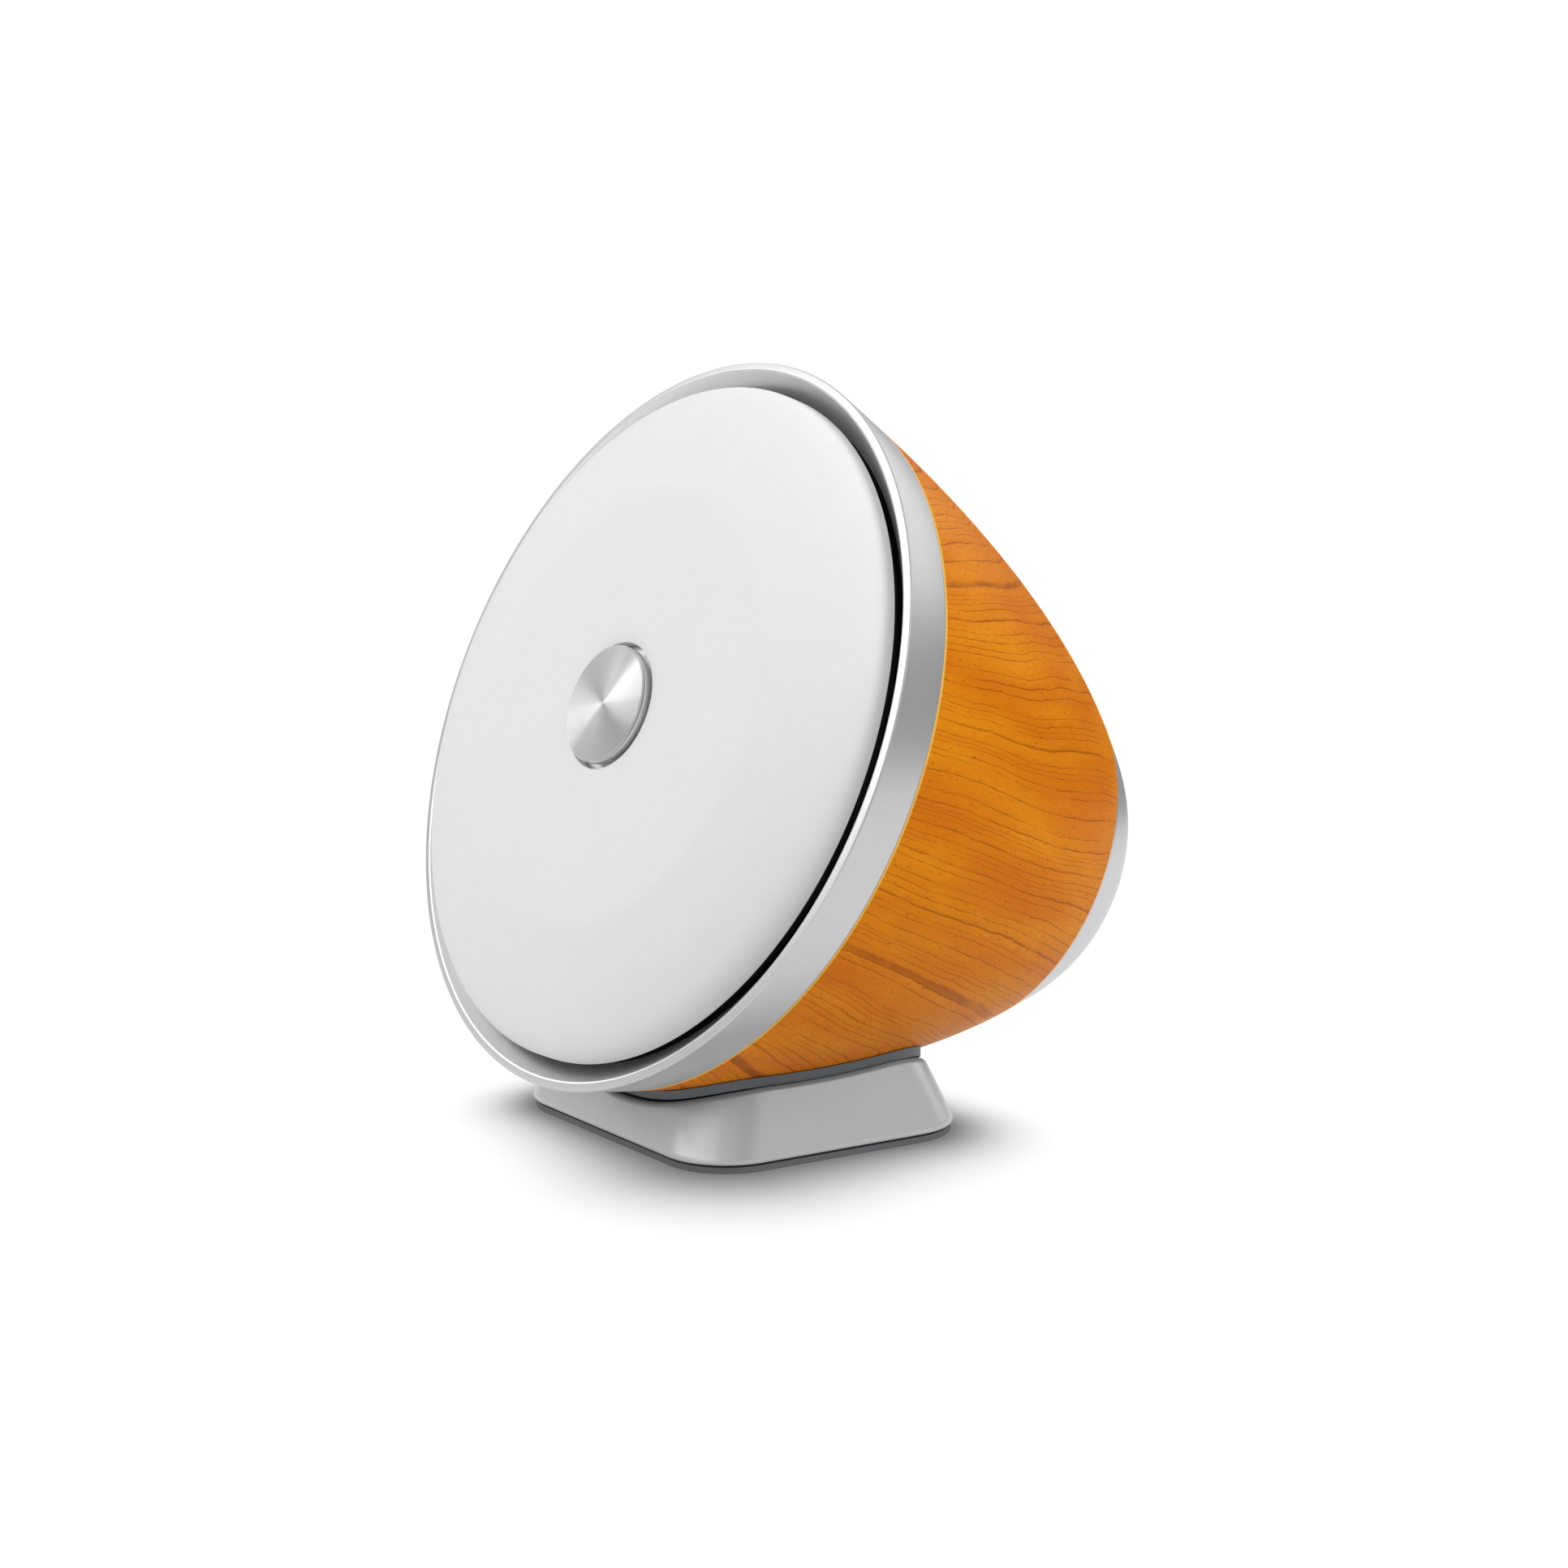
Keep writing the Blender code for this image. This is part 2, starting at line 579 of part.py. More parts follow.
def make_button(paint, axis):
    plastic = paint["black_plastic"]
    collar_top = BUTTON_TOP - 0.55 * MM
    underside_height = collar_top + 0.2 * MM
    stem_radius = 4.6 * MM
    collar_radius = BUTTON_RADIUS - 0.1 * MM
    low = FLANGE_TOP + 0.2 * MM
    crown = [(0, BUTTON_TOP), (BUTTON_RADIUS - 0.2 * MM, BUTTON_TOP)]
    crown += [(BUTTON_RADIUS, BUTTON_TOP - 0.15 * MM), (BUTTON_RADIUS, underside_height)]
    crown.append((0, underside_height))
    lathe("button_cap", crown, paint["spun_aluminium"], axis, 32)
    silver = paint["silver_paint"]
    tube("button_collar", stem_radius + GAP, collar_radius, low, collar_top, silver, axis, segments=32)
    stem = [
        (0, collar_top),
        (stem_radius, collar_top),
        (stem_radius, FLANGE_TOP),
        (FLANGE_RADIUS, FLANGE_TOP),
        (FLANGE_RADIUS, FLANGE_TOP - 0.8 * MM),
        (FLANGE_RADIUS - 1.6 * MM, FLANGE_TOP - 0.8 * MM),
        (FLANGE_RADIUS - 1.6 * MM, STEM_BOTTOM),
        (0, STEM_BOTTOM),
    ]
    lathe("button_stem", stem, plastic, axis, 24)
    cylinder("switch_plunger", 1.6 * MM, 4.1 * MM, STEM_BOTTOM - 0.2 * MM, plastic, axis)
    half = 3.1 * MM
    low = (-half, -half, LED_BOARD_FRONT + 0.2 * MM)
    switch = box("switch_body", low, (half, half, SWITCH_TOP), paint["steel"], axis)
    bore(switch, "switch_well", 1.9 * MM, 2.9 * MM, SWITCH_TOP + 1 * MM, axis, (0, 0))


def make_main_board(paint, axis):
    green = paint["circuit_board"]
    low = MAIN_BOARD_REAR
    board = cylinder("main_board", MAIN_BOARD_RADIUS, low, MAIN_BOARD_FRONT, green, axis, segments=32)
    through = (-19 * MM, -14 * MM)
    bore(board, "board_inlet", 4.0 * MM, *through, axis, SENSOR_INLET)
    top = MAIN_BOARD_FRONT + 0.2 * MM
    for i, place in enumerate(board_screw_places()):
        bore(board, f"board_hole_{i}", 1.1 * MM, *through, axis, place, 12)
        name = f"board_screw_{i + 1}"
        screw(name, place, 1.8 * MM, top, top + 1.1 * MM, -21 * MM, 0.8 * MM, paint["steel"], axis)
    wifi_low = (-22 * MM, 3 * MM, top)
    box("wifi_module", wifi_low, (-6 * MM, 21 * MM, top + 2.4 * MM), paint["steel"], axis, bevel=0.3 * MM)
    cylinder("gas_sensor", 4.6 * MM, top, top + 4.2 * MM, paint["steel"], axis, (14 * MM, -16 * MM), 20)
    humidity_low = (-13 * MM, -18 * MM, top)
    humidity_high = (-10 * MM, -15 * MM, top + 1.1 * MM)
    box("humidity_sensor", humidity_low, humidity_high, paint["black_plastic"], axis, bevel=0.2 * MM)
    connector_low = (-5.2 * MM, 10.6 * MM, top)
    connector_high = (5.2 * MM, 13.8 * MM, top + 2.0 * MM)
    connector = box("board_connector", connector_low, connector_high, paint["frosted_plastic"], axis)
    slot_low = (-4.4 * MM, 11.7 * MM, top + 0.6 * MM)
    slot = box("connector_slot", slot_low, (4.4 * MM, 12.7 * MM, top + 4 * MM), paint["steel"], axis)
    boolean(connector, slot, "DIFFERENCE")
    ribbon_low = (-4.1 * MM, 12.05 * MM, top + 0.9 * MM)
    ribbon_high = (4.1 * MM, 12.35 * MM, LED_BOARD_REAR - 0.2 * MM)
    box("ribbon_cable", ribbon_low, ribbon_high, paint["grey_plastic"], axis)


def make_particle_sensor(paint, axis):
    half_width = SENSOR_WIDTH / 2
    half_height = SENSOR_HEIGHT / 2
    low = (-half_width, -half_height, SENSOR_REAR)
    high = (half_width, half_height, SENSOR_FRONT)
    grey = paint["grey_plastic"]
    case = box("particle_sensor_case", low, high, grey, axis)
    inside_low = (-half_width + SENSOR_WALL, -half_height + SENSOR_WALL, SENSOR_REAR - 1 * MM)
    inside_high = (half_width - SENSOR_WALL, half_height - SENSOR_WALL, SENSOR_FRONT - SENSOR_WALL)
    boolean(case, box("case_inside", inside_low, inside_high, grey, axis), "DIFFERENCE")
    bore(case, "case_inlet", 3.0 * MM, -28 * MM, -22 * MM, axis, SENSOR_INLET)
    lid_low = (-half_width, -half_height, SENSOR_REAR - GAP - SENSOR_WALL)
    lid_high = (half_width, half_height, SENSOR_REAR - GAP)
    lid = box("particle_sensor_lid", lid_low, lid_high, grey, axis)
    bore(lid, "lid_outlet", FAN_RADIUS + 0.6 * MM, -46 * MM, -43 * MM, axis, (0, 0), 24)
    floor = SENSOR_FRONT - SENSOR_WALL - GAP
    motor_rear = -36.8 * MM
    cylinder("fan_motor", 5.0 * MM, motor_rear, floor, paint["black_plastic"], axis, segments=20)
    optics_low = (-17 * MM, -13 * MM, floor - 8 * MM)
    optics_high = (-7.5 * MM, 13 * MM, floor)
    box("laser_block", optics_low, optics_high, paint["black_plastic"], axis, bevel=0.4 * MM)
    make_fan_rotor(paint["black_plastic"], axis, -42.8 * MM, motor_rear - GAP)


def make_fan_rotor(material, axis, rear, front):
    """One twisted extrusion of a hub outline with blades."""
    blade_turn = 2 * math.pi / FAN_BLADES
    half_blade = math.radians(5)
    outline = []
    for i in range(FAN_BLADES):
        start = i * blade_turn
        outline += [(FAN_HUB, start - half_blade * 1.6), (FAN_RADIUS, start - half_blade)]
        outline += [(FAN_RADIUS, start + half_blade), (FAN_HUB, start + half_blade * 1.6)]
        outline.append((FAN_HUB, start + blade_turn / 2))
    layers = 4
    twist = math.radians(32)
    levels = [[Vector((0, 0, front))]]
    for layer in range(layers):
        share = layer / (layers - 1)
        height = front + (rear - front) * share
        turn = twist * share
        points = [Vector((r * math.cos(a + turn), r * math.sin(a + turn), height)) for r, a in outline]
        levels.append(points)
    levels.append([Vector((0, 0, rear))])
    stack("fan_rotor", levels, material, axis)


def flat_ring(points, height):
    return [Vector((p.x, p.y, height)) for p in points]


def make_foot_pad(paint):
    outline = base_outline(0.35 * MM)
    inner = base_outline(0.6 * MM)
    levels = [[Vector((0, 0, PAD_TOP))], flat_ring(outline, PAD_TOP), flat_ring(outline, 0.25 * MM)]
    levels += [flat_ring(inner, 0), [Vector((0, 0, 0))]]
    stack("foot_pad", levels, paint["rubber"])


def make_base_shell(paint):
    edge = saddle_edge(BASE_BOTTOM, BASE_LEAN, 0, CRADLE_DROP)
    bevel = 0.45 * MM
    edge_top = [Vector((p.x * 0.98, p.y * 0.98, p.z)) for p in edge]
    edge_side = [Vector((p.x, p.y, p.z - bevel)) for p in edge]
    levels = list(reversed(saddle_rings(edge, CRADLE_DROP, (0.8, 0.55, 0.3))))
    levels += [edge_top, edge_side, flat_ring(base_outline(0), BASE_BOTTOM + 0.5 * MM)]
    levels.append(flat_ring(base_outline(0.3 * MM), BASE_BOTTOM))
    levels.append(flat_ring(base_outline(3.0 * MM), BASE_BOTTOM))
    levels.append(flat_ring(base_outline(3.2 * MM), POCKET_TOP))
    levels.append([Vector((0, 0, POCKET_TOP))])
    base = stack("base_shell", levels, paint["silver_paint"])
    for side, y in STAND_SCREW_PLACES.items():
        bore(base, f"base_hole_{side}", 1.5 * MM, 2 * MM, 8 * MM, None, (0, y))


def make_ballast_plate(paint):
    outline = base_outline(3.7 * MM)
    bottom = BASE_BOTTOM + 0.1 * MM
    top = POCKET_TOP - GAP
    levels = [[Vector((0, 0, top))], flat_ring(outline, top)]
    levels += [flat_ring(outline, bottom), [Vector((0, 0, bottom))]]
    plate = stack("ballast_plate", levels, paint["steel"])
    for side, y in STAND_SCREW_PLACES.items():
        bore(plate, f"ballast_hole_{side}", 3.0 * MM, 0, 5 * MM, None, (0, y))


def make_neck_saddle(paint):
    under_gap = CRADLE_DROP - GAP
    inset = BASE_LEAN * (underside(0, 0, CRADLE_DROP) - BASE_BOTTOM) + NECK_INSET
    bottom_edge = saddle_edge(underside(0, 0, under_gap), BASE_LEAN, inset, under_gap)
    top_edge = [Vector((p.x, p.y, underside(p.x, p.y, GAP))) for p in bottom_edge]
    scales = (0.7, 0.35)
    levels = list(reversed(saddle_rings(top_edge, GAP, scales))) + [top_edge]
    levels += [bottom_edge] + saddle_rings(bottom_edge, under_gap, scales)
    neck = stack("neck_saddle", levels, paint["grey_plastic"])
    middle = (GAP + under_gap) / 2
    head_low = BASE_BOTTOM + 0.2 * MM
    head_high = POCKET_TOP - GAP
    tip = 14.5 * MM
    for side, y in STAND_SCREW_PLACES.items():
        post_top = underside(0, y, -WOOD_WALL + GAP)
        post_low = underside(0, y, middle)
        boss(neck, f"neck_post_{side}", POST_RADIUS, post_low, post_top, None, (0, y))
        bore(neck, f"neck_bore_{side}", 1.5 * MM, 2 * MM, 14 * MM, None, (0, y))
        name = f"stand_screw_{side}"
        screw(name, (0, y), 2.5 * MM, head_low, head_high, tip, 1.15 * MM, paint["steel"], None)


def main():
    clear_scene()
    paint = {name: make_material(name, *values) for name, values in PAINTS.items()}
    axis = make_body_axis()
    make_bezel_ring(paint, axis)
    make_wood_shell(paint, axis)
    make_chassis(paint, axis)
    make_rear_cap(paint, axis)
    make_rear_grille(paint, axis)
    make_power_inlet(paint, axis)
    make_face_panel(paint, axis)
    make_intake_liner(paint, axis)
    make_face_carrier(paint, axis)
    make_led_board(paint, axis)
    make_button(paint, axis)
    make_main_board(paint, axis)
    make_particle_sensor(paint, axis)
    make_foot_pad(paint)
    make_base_shell(paint)
    make_ballast_plate(paint)
    make_neck_saddle(paint)
    bpy.context.view_layer.update()


main()
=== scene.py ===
"""The looks of a desktop air quality monitor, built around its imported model."""

import json
import math

import bmesh
import bpy
from mathutils import Matrix, Quaternion, Vector


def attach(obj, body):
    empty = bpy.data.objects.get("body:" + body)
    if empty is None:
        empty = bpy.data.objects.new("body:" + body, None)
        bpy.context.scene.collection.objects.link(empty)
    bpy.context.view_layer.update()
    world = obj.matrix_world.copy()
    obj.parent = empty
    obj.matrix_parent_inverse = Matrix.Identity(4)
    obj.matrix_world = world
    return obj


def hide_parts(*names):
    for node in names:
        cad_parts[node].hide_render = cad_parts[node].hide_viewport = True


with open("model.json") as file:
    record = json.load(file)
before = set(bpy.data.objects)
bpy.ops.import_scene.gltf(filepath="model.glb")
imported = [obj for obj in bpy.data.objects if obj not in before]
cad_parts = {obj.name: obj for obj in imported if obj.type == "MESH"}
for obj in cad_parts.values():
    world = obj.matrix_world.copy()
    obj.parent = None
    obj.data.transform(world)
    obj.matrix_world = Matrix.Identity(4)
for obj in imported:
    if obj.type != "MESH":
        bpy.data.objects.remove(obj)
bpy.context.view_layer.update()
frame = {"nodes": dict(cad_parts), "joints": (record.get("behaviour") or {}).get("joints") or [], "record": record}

MM = 0.001

# The body axis, from the fan's joint: forward is out of the face
JOINTS = {joint["name"]: joint for joint in frame["joints"]}
FORWARD = -Vector(JOINTS["fan_spin"]["axis"]).normalized()
FAN_DEPTH = 40.0 * MM
RING_CENTRE = Vector(JOINTS["fan_spin"]["pos_m"]) + FORWARD * FAN_DEPTH
UP_FACE = FORWARD.cross(Vector((1, 0, 0)))
BODY_FRAME = Matrix.Translation(RING_CENTRE) @ Matrix(
    ((1, UP_FACE.x, FORWARD.x), (0, UP_FACE.y, FORWARD.y), (0, UP_FACE.z, FORWARD.z))
).to_4x4()

# Body outline, in the body frame: heights run out of the face from the ring's front edge
RING_RADIUS = 50.0 * MM
RING_DEPTH = 7.7 * MM
COVE_INNER = 45.4 * MM
COVE_OUTER = 48.75 * MM
COVE_DEPTH = -2.6 * MM
LIP_HEIGHT = 0.28 * MM
POCKET_FLOOR = -5.0 * MM
TENON_OUTER = 44.2 * MM
TENON_INNER = 41.8 * MM
RING_FLANGE_INNER = 37.5 * MM
RING_FLANGE_FRONT = -8.9 * MM
RING_FLANGE_REAR = -10.5 * MM
WOOD_FRONT_RADIUS = 47.78 * MM
WOOD_REAR_RADIUS = 24.45 * MM
WOOD_REAR = -58.8 * MM
WOOD_WALL = 2.2 * MM
CAP_REAR = -69.1 * MM
CAP_OPENING = 13.2 * MM
CAP_INNER = ((14.9 * MM, -67.7 * MM), (18.8 * MM, -63.6 * MM))
CAP_TENON_WALL = 1.6 * MM
CAP_TENON_LENGTH = 3.5 * MM
SEAM = 0.12 * MM
GRILLE_REAR = -67.4 * MM
REAR_SCREW_OFFSET = 10.8 * MM
SCREW_HEAD_RADIUS = 1.9 * MM
SCREW_HEAD_HEIGHT = 1.1 * MM
SCREW_SHANK_RADIUS = 1.0 * MM
SCREW_TIP = -52.8 * MM
RECESS_HALF_LENGTH = 1.1 * MM
RECESS_HALF_WIDTH = 0.22 * MM
RECESS_DEPTH = 0.5 * MM
SOCKET_DROP = 7.6 * MM
TONGUE_HALF_WIDTH = 2.6 * MM
TONGUE_HALF_THICKNESS = 0.28 * MM
TONGUE_REACH = (0.8 * MM, 5.6 * MM)
FACE_RADIUS = 46.1 * MM
FACE_WALL = 1.5 * MM
FACE_CENTRE_HEIGHT = 8.65 * MM
FACE_ZONE_RADIUS = 30.5 * MM
FACE_ZONE_HEIGHT = 8.1 * MM
FACE_RIM_FRONT = 1.2 * MM
FACE_RIM_REAR = -0.7 * MM
BUTTON_RADIUS = 8.0 * MM
BUTTON_HOLE = 8.62 * MM
BUTTON_TOP = 9.75 * MM
CAP_UNDERSIDE = BUTTON_TOP - 0.38 * MM
COLLAR_TOP = BUTTON_TOP - 0.48 * MM
COLLAR_BORE = 4.9 * MM
FLANGE_RADIUS = 9.6 * MM
FLANGE_TOP = 6.9 * MM
FLANGE_BOTTOM = 5.9 * MM
ROUND_STEPS = 256
ON_AXIS = 1e-7

# Stand, in the world frame
UNDERSIDE_SEARCH = (-0.02, 0.045)
PAD_TOP = 0.9 * MM
PAD_INSET = 0.35 * MM
BASE_BOTTOM = 1.2 * MM
BASE_HALF_WIDTH = 24.6 * MM
BASE_HALF_DEPTH = 21.65 * MM
BASE_CORNER = 9.1 * MM
BASE_LEAN = 0.34
BASE_RIM_ROUND = 0.7 * MM
BASE_WALL = 3.0 * MM
CRADLE_DROP = 1.8 * MM
POCKET_TOP = 3.2 * MM
NECK_GAP = 0.45 * MM
NECK_TOP_GAP = 0.12 * MM
NECK_INSET = 1.0 * MM
POST_RADIUS = 3.0 * MM
POST_PLACES = (-4.0 * MM, 14.0 * MM)
POST_CLEARANCE = 0.4 * MM
SCREW_BORE = 1.5 * MM

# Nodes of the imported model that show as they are
SHOWN_AS_PACKED = ("rear_grille", "power_socket")
SHOWN_EDGE = 0.12 * MM

# View
CAMERA_AZIMUTH = math.radians(56.81)
CAMERA_ELEVATION = math.radians(13.19)
CAMERA_DISTANCE = 1.1
CAMERA_LENS = 189.0
SENSOR_WIDTH = 36.0
AIM_RIGHT = 5.6 * MM
AIM_UP = 44.37 * MM

# Table top: its shade narrows away from a heading, and falls off over two reaches
FLOOR_RADIUS = 0.22
SURROUND_RADIUS = 6.0
WHITE_GLOW = 1.05
SHADE_HEADING = (0.837, -0.547)
SHADE_NARROWING = 1.44
SHADE_START = 0.24
SHADE_REACHES = (26.0 * MM, 22.4 * MM)

# Room: grey levels by the height of a direction, from straight down (-1) to straight up (1)
REAR_LEVELS = (
    (-1, 0.75),
    (-0.3, 0.30),
    (-0.17, 0.08),
    (-0.1, 0.03),
    (0.02, 0.03),
    (0.10, 0.42),
    (0.45, 0.60),
    (1, 0.60),
)
DARK_CARD = Vector((0.90, 0, 0.43))
LIGHT_TARGET = Vector((0, 0, 0.05))


# Curves and meshes


def bezier(start, handle_a, handle_b, end, steps):
    """Points along one cubic curve, both ends included."""
    points = []
    for i in range(steps + 1):
        t = i / steps
        s = 1 - t
        weights = (s**3, 3 * s * s * t, 3 * s * t * t, t**3)
        ends = (start, handle_a, handle_b, end)
        points.append(tuple(sum(w * p[k] for w, p in zip(weights, ends)) for k in (0, 1)))
    return points


def wood_curve(steps):
    """(radius, height) down the wood, from the ring to the cap."""
    start = (WOOD_FRONT_RADIUS, -RING_DEPTH)
    end = (WOOD_REAR_RADIUS, WOOD_REAR)
    return bezier(start, (42.6 * MM, -25.4 * MM), (34.8 * MM, -44.9 * MM), end, steps)


def cap_curve(steps):
    """(radius, height) down the cap, from the wood to its opening."""
    start = (WOOD_REAR_RADIUS, WOOD_REAR)
    end = (CAP_OPENING, CAP_REAR)
    return bezier(start, (21.8 * MM, -62.3 * MM), (17.8 * MM, -68.5 * MM), end, steps)


OUTLINE = [(RING_RADIUS, 0.0)] + wood_curve(80) + cap_curve(30)[1:]


def outline_radius(height):
    """The body's outer radius at a height."""
    for (r0, h0), (r1, h1) in zip(OUTLINE, OUTLINE[1:]):
        if h1 <= height <= h0:
            return r0 + (r1 - r0) * (h0 - height) / (h0 - h1)
    return OUTLINE[0][0] if height > 0 else OUTLINE[-1][0]


def underside(x, y, grow):
    """World height of the body's underside at (x, y), with the body grown by grow."""
    low, high = UNDERSIDE_SEARCH
    for _ in range(32):
        middle = (low + high) / 2
        offset = Vector((x, y, middle)) - RING_CENTRE
        height = offset.dot(FORWARD)
        radius = (offset - FORWARD * height).length
        if radius > outline_radius(height) + grow:
            low = middle
        else:
            high = middle
    return (low + high) / 2


def rounded(corners, steps=5):
    """A closed outline from (x, y, radius) corners, each cut by an arc of its radius."""
    points = []
    for i, (x, y, radius) in enumerate(corners):
        here = Vector((x, y))
        back = Vector(corners[i - 1][:2]) - here
        on = Vector(corners[(i + 1) % len(corners)][:2]) - here
        if radius <= 0:
            points.append((x, y))
            continue
        half = back.angle(on) / 2
        reach = min(radius / math.tan(half), back.length * 0.49, on.length * 0.49)
        start = here + back.normalized() * reach
        end = here + on.normalized() * reach
        for k in range(steps + 1):
            t = k / steps
            point = start * (1 - t) ** 2 + here * 2 * t * (1 - t) + end * t * t
            points.append(tuple(point))
    return points


def join_rings(builder, rings):
    """Bridges each ring to the next; a ring may be one point repeated."""
    count = len(rings[0])
    for first, second in zip(rings, rings[1:]):
        for i in range(count):
            j = (i + 1) % count
            corners = list(dict.fromkeys([first[i], first[j], second[j], second[i]]))
            if len(corners) > 2:
                builder.faces.new(corners)


def finish_mesh(name, builder, smooth_angle=30):
    """Puts a built mesh into the scene, smooth but for edges over the angle."""
    bmesh.ops.recalc_face_normals(builder, faces=builder.faces)
    mesh = bpy.data.meshes.new(name)
    builder.to_mesh(mesh)
    builder.free()
    mesh.shade_smooth()
    mesh.set_sharp_from_angle(angle=math.radians(smooth_angle))
    obj = bpy.data.objects.new(name, mesh)
    bpy.context.collection.objects.link(obj)
    return obj


def lathe(name, profile, centre=(0, 0), steps=ROUND_STEPS, smooth_angle=30, frame_matrix=BODY_FRAME):
    """Turns a closed (radius, height) profile about a frame's Z axis or a line beside it."""
    builder = bmesh.new()
    rings = []
    for radius, height in profile:
        if radius < ON_AXIS:
            rings.append([builder.verts.new((*centre, height))] * steps)
            continue
        ring = []
        for i in range(steps):
            angle = 2 * math.pi * i / steps
            x = centre[0] + radius * math.cos(angle)
            y = centre[1] + radius * math.sin(angle)
            ring.append(builder.verts.new((x, y, height)))
        rings.append(ring)
    join_rings(builder, rings + [rings[0]])
    builder.transform(frame_matrix)
    return finish_mesh(name, builder, smooth_angle)


def stack(name, levels):
    """A closed solid from rings of points; a level of one point is a pole."""
    builder = bmesh.new()
    count = max(len(level) for level in levels)
    rings = []
    for level in levels:
        points = [builder.verts.new(point) for point in level]
        rings.append(points * count if len(points) == 1 else points)
    join_rings(builder, rings)
    return finish_mesh(name, builder, 40)


def cut(obj, cutter, operation="DIFFERENCE"):
    """Applies one Boolean to a finished piece and removes the tool."""
    modifier = obj.modifiers.new("cut", "BOOLEAN")
    modifier.operation = operation
    modifier.solver = "EXACT"
    modifier.object = cutter
    bpy.context.view_layer.update()
    graph = bpy.context.evaluated_depsgraph_get()
    mesh = bpy.data.meshes.new_from_object(obj.evaluated_get(graph))
    obj.modifiers.clear()
    obj.data = mesh
    bpy.data.objects.remove(cutter)


def post(radius, y, bottom, top, steps=48):
    """An upright round tool or post at (0, y) in the world frame."""
    profile = [(0, top), (radius, top), (radius, bottom), (0, bottom)]
    return lathe("tool", profile, (0, y), steps, frame_matrix=Matrix.Identity(4))


def stand_in(obj, node, body, material):
    """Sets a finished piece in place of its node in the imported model."""
    obj.data.materials.clear()
    obj.data.materials.append(material)
    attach(obj, body)
    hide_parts(node)


# Materials: points and lengths in their node trees are in millimetres


SILVER = (0.63, 0.63, 0.635)
SILVER_METALLIC = 0.55
CUT_SILVER = (0.84, 0.84, 0.845)
CUT_METALLIC = 0.85
CUT_MARGIN = 0.1 * MM

# The button's dish is as deep at a radius as the radius squared over this
BUTTON_DISH_FALL = 34.0

# Wood: the growth layers lie level in the body frame and wander by sway, ripple and jitter
LAYER_SHIFT = 7.5
LAYER_SPREAD = 0.004
SWAY = 1.7
RIPPLE = 0.3
JITTER = 0.14
YEARS_PER_MM = 0.95
YEAR_DRIFT = 4.5
LINE_WIDTH = 0.14
LINE_SLOPE = 3.0
# The front edge's reach and colour paint a highlight where the eased edge by the ring catches light
FRONT_EDGE_HIGHLIGHT = (-8.35, -8.1)
WOOD_PALE = (0.85, 0.285, 0.006)
WOOD_DEEP = (0.74, 0.19, 0.004)
WOOD_FIBRE = (0.58, 0.15, 0.005)
WOOD_LATE = (0.56, 0.12, 0.004)
WOOD_PORE = (0.32, 0.06, 0.003)
WOOD_LINE = (0.28, 0.06, 0.003)
WOOD_EDGE_HIGHLIGHT = (1.0, 0.60, 0.12)


class Nodes:
    """A node tree with short ways to add and join nodes."""

    def __init__(self, tree):
        self.tree = tree

    def add(self, kind, **settings):
        node = self.tree.nodes.new(kind)
        for key, value in settings.items():
            setattr(node, key, value)
        return node

    def join(self, output, socket):
        self.tree.links.new(output, socket)

    def feed(self, socket, value):
        """Joins an output to a socket, or sets it to a number or a colour."""
        if isinstance(value, (int, float)):
            socket.default_value = value
        elif isinstance(value, tuple):
            socket.default_value = (*value, 1.0)
        else:
            self.join(value, socket)

    def object_point(self):
        return self.add("ShaderNodeTexCoord").outputs["Object"]

    def place(self):
        """The point in the body frame, in millimetres."""
        node = self.add("ShaderNodeMapping", vector_type="TEXTURE")
        node.inputs["Location"].default_value = RING_CENTRE
        node.inputs["Rotation"].default_value = BODY_FRAME.to_euler()
        node.inputs["Scale"].default_value = (MM, MM, MM)
        self.join(self.object_point(), node.inputs["Vector"])
        return node.outputs[0]

    def noise(self, vector, scale, detail=3.0):
        node = self.add("ShaderNodeTexNoise")
        node.inputs["Scale"].default_value = scale
        node.inputs["Detail"].default_value = detail
        node.inputs["Roughness"].default_value = 0.5
        self.join(vector, node.inputs["Vector"])
        return node.outputs["Fac"]

    def math(self, operation, *values):
        node = self.add("ShaderNodeMath", operation=operation)
        for socket, value in zip(node.inputs, values):
            self.feed(socket, value)
        return node.outputs[0]

    def total(self, first, second):
        return self.math("ADD", first, second)

    def times(self, first, second):
        return self.math("MULTIPLY", first, second)

    def rest(self, value):
        """What is left of 1."""
        return self.math("SUBTRACT", 1.0, value)

    def length(self, x, y):
        return self.math("SQRT", self.total(self.times(x, x), self.times(y, y)))

    def spread(self, value, low, high, new_low, new_high):
        """Maps low..high to new_low..new_high, and stops at both ends."""
        node = self.add("ShaderNodeMapRange")
        limits = {"From Min": low, "From Max": high, "To Min": new_low, "To Max": new_high}
        for key, limit in limits.items():
            node.inputs[key].default_value = limit
        self.join(value, node.inputs["Value"])
        return node.outputs[0]

    def wander(self, value, reach):
        """Maps a noise of 0..1 to -reach..reach."""
        return self.spread(value, 0.0, 1.0, -reach, reach)

    def mix(self, factor, first, second):
        node = self.add("ShaderNodeMix", data_type="RGBA")
        for socket, value in ((0, factor), (6, first), (7, second)):
            self.feed(node.inputs[socket], value)
        return node.outputs[2]

    def combine(self, x, y, z):
        node = self.add("ShaderNodeCombineXYZ")
        for socket, value in zip(node.inputs, (x, y, z)):
            self.feed(socket, value)
        return node.outputs[0]

    def split(self, vector):
        node = self.add("ShaderNodeSeparateXYZ")
        self.join(vector, node.inputs[0])
        return node.outputs


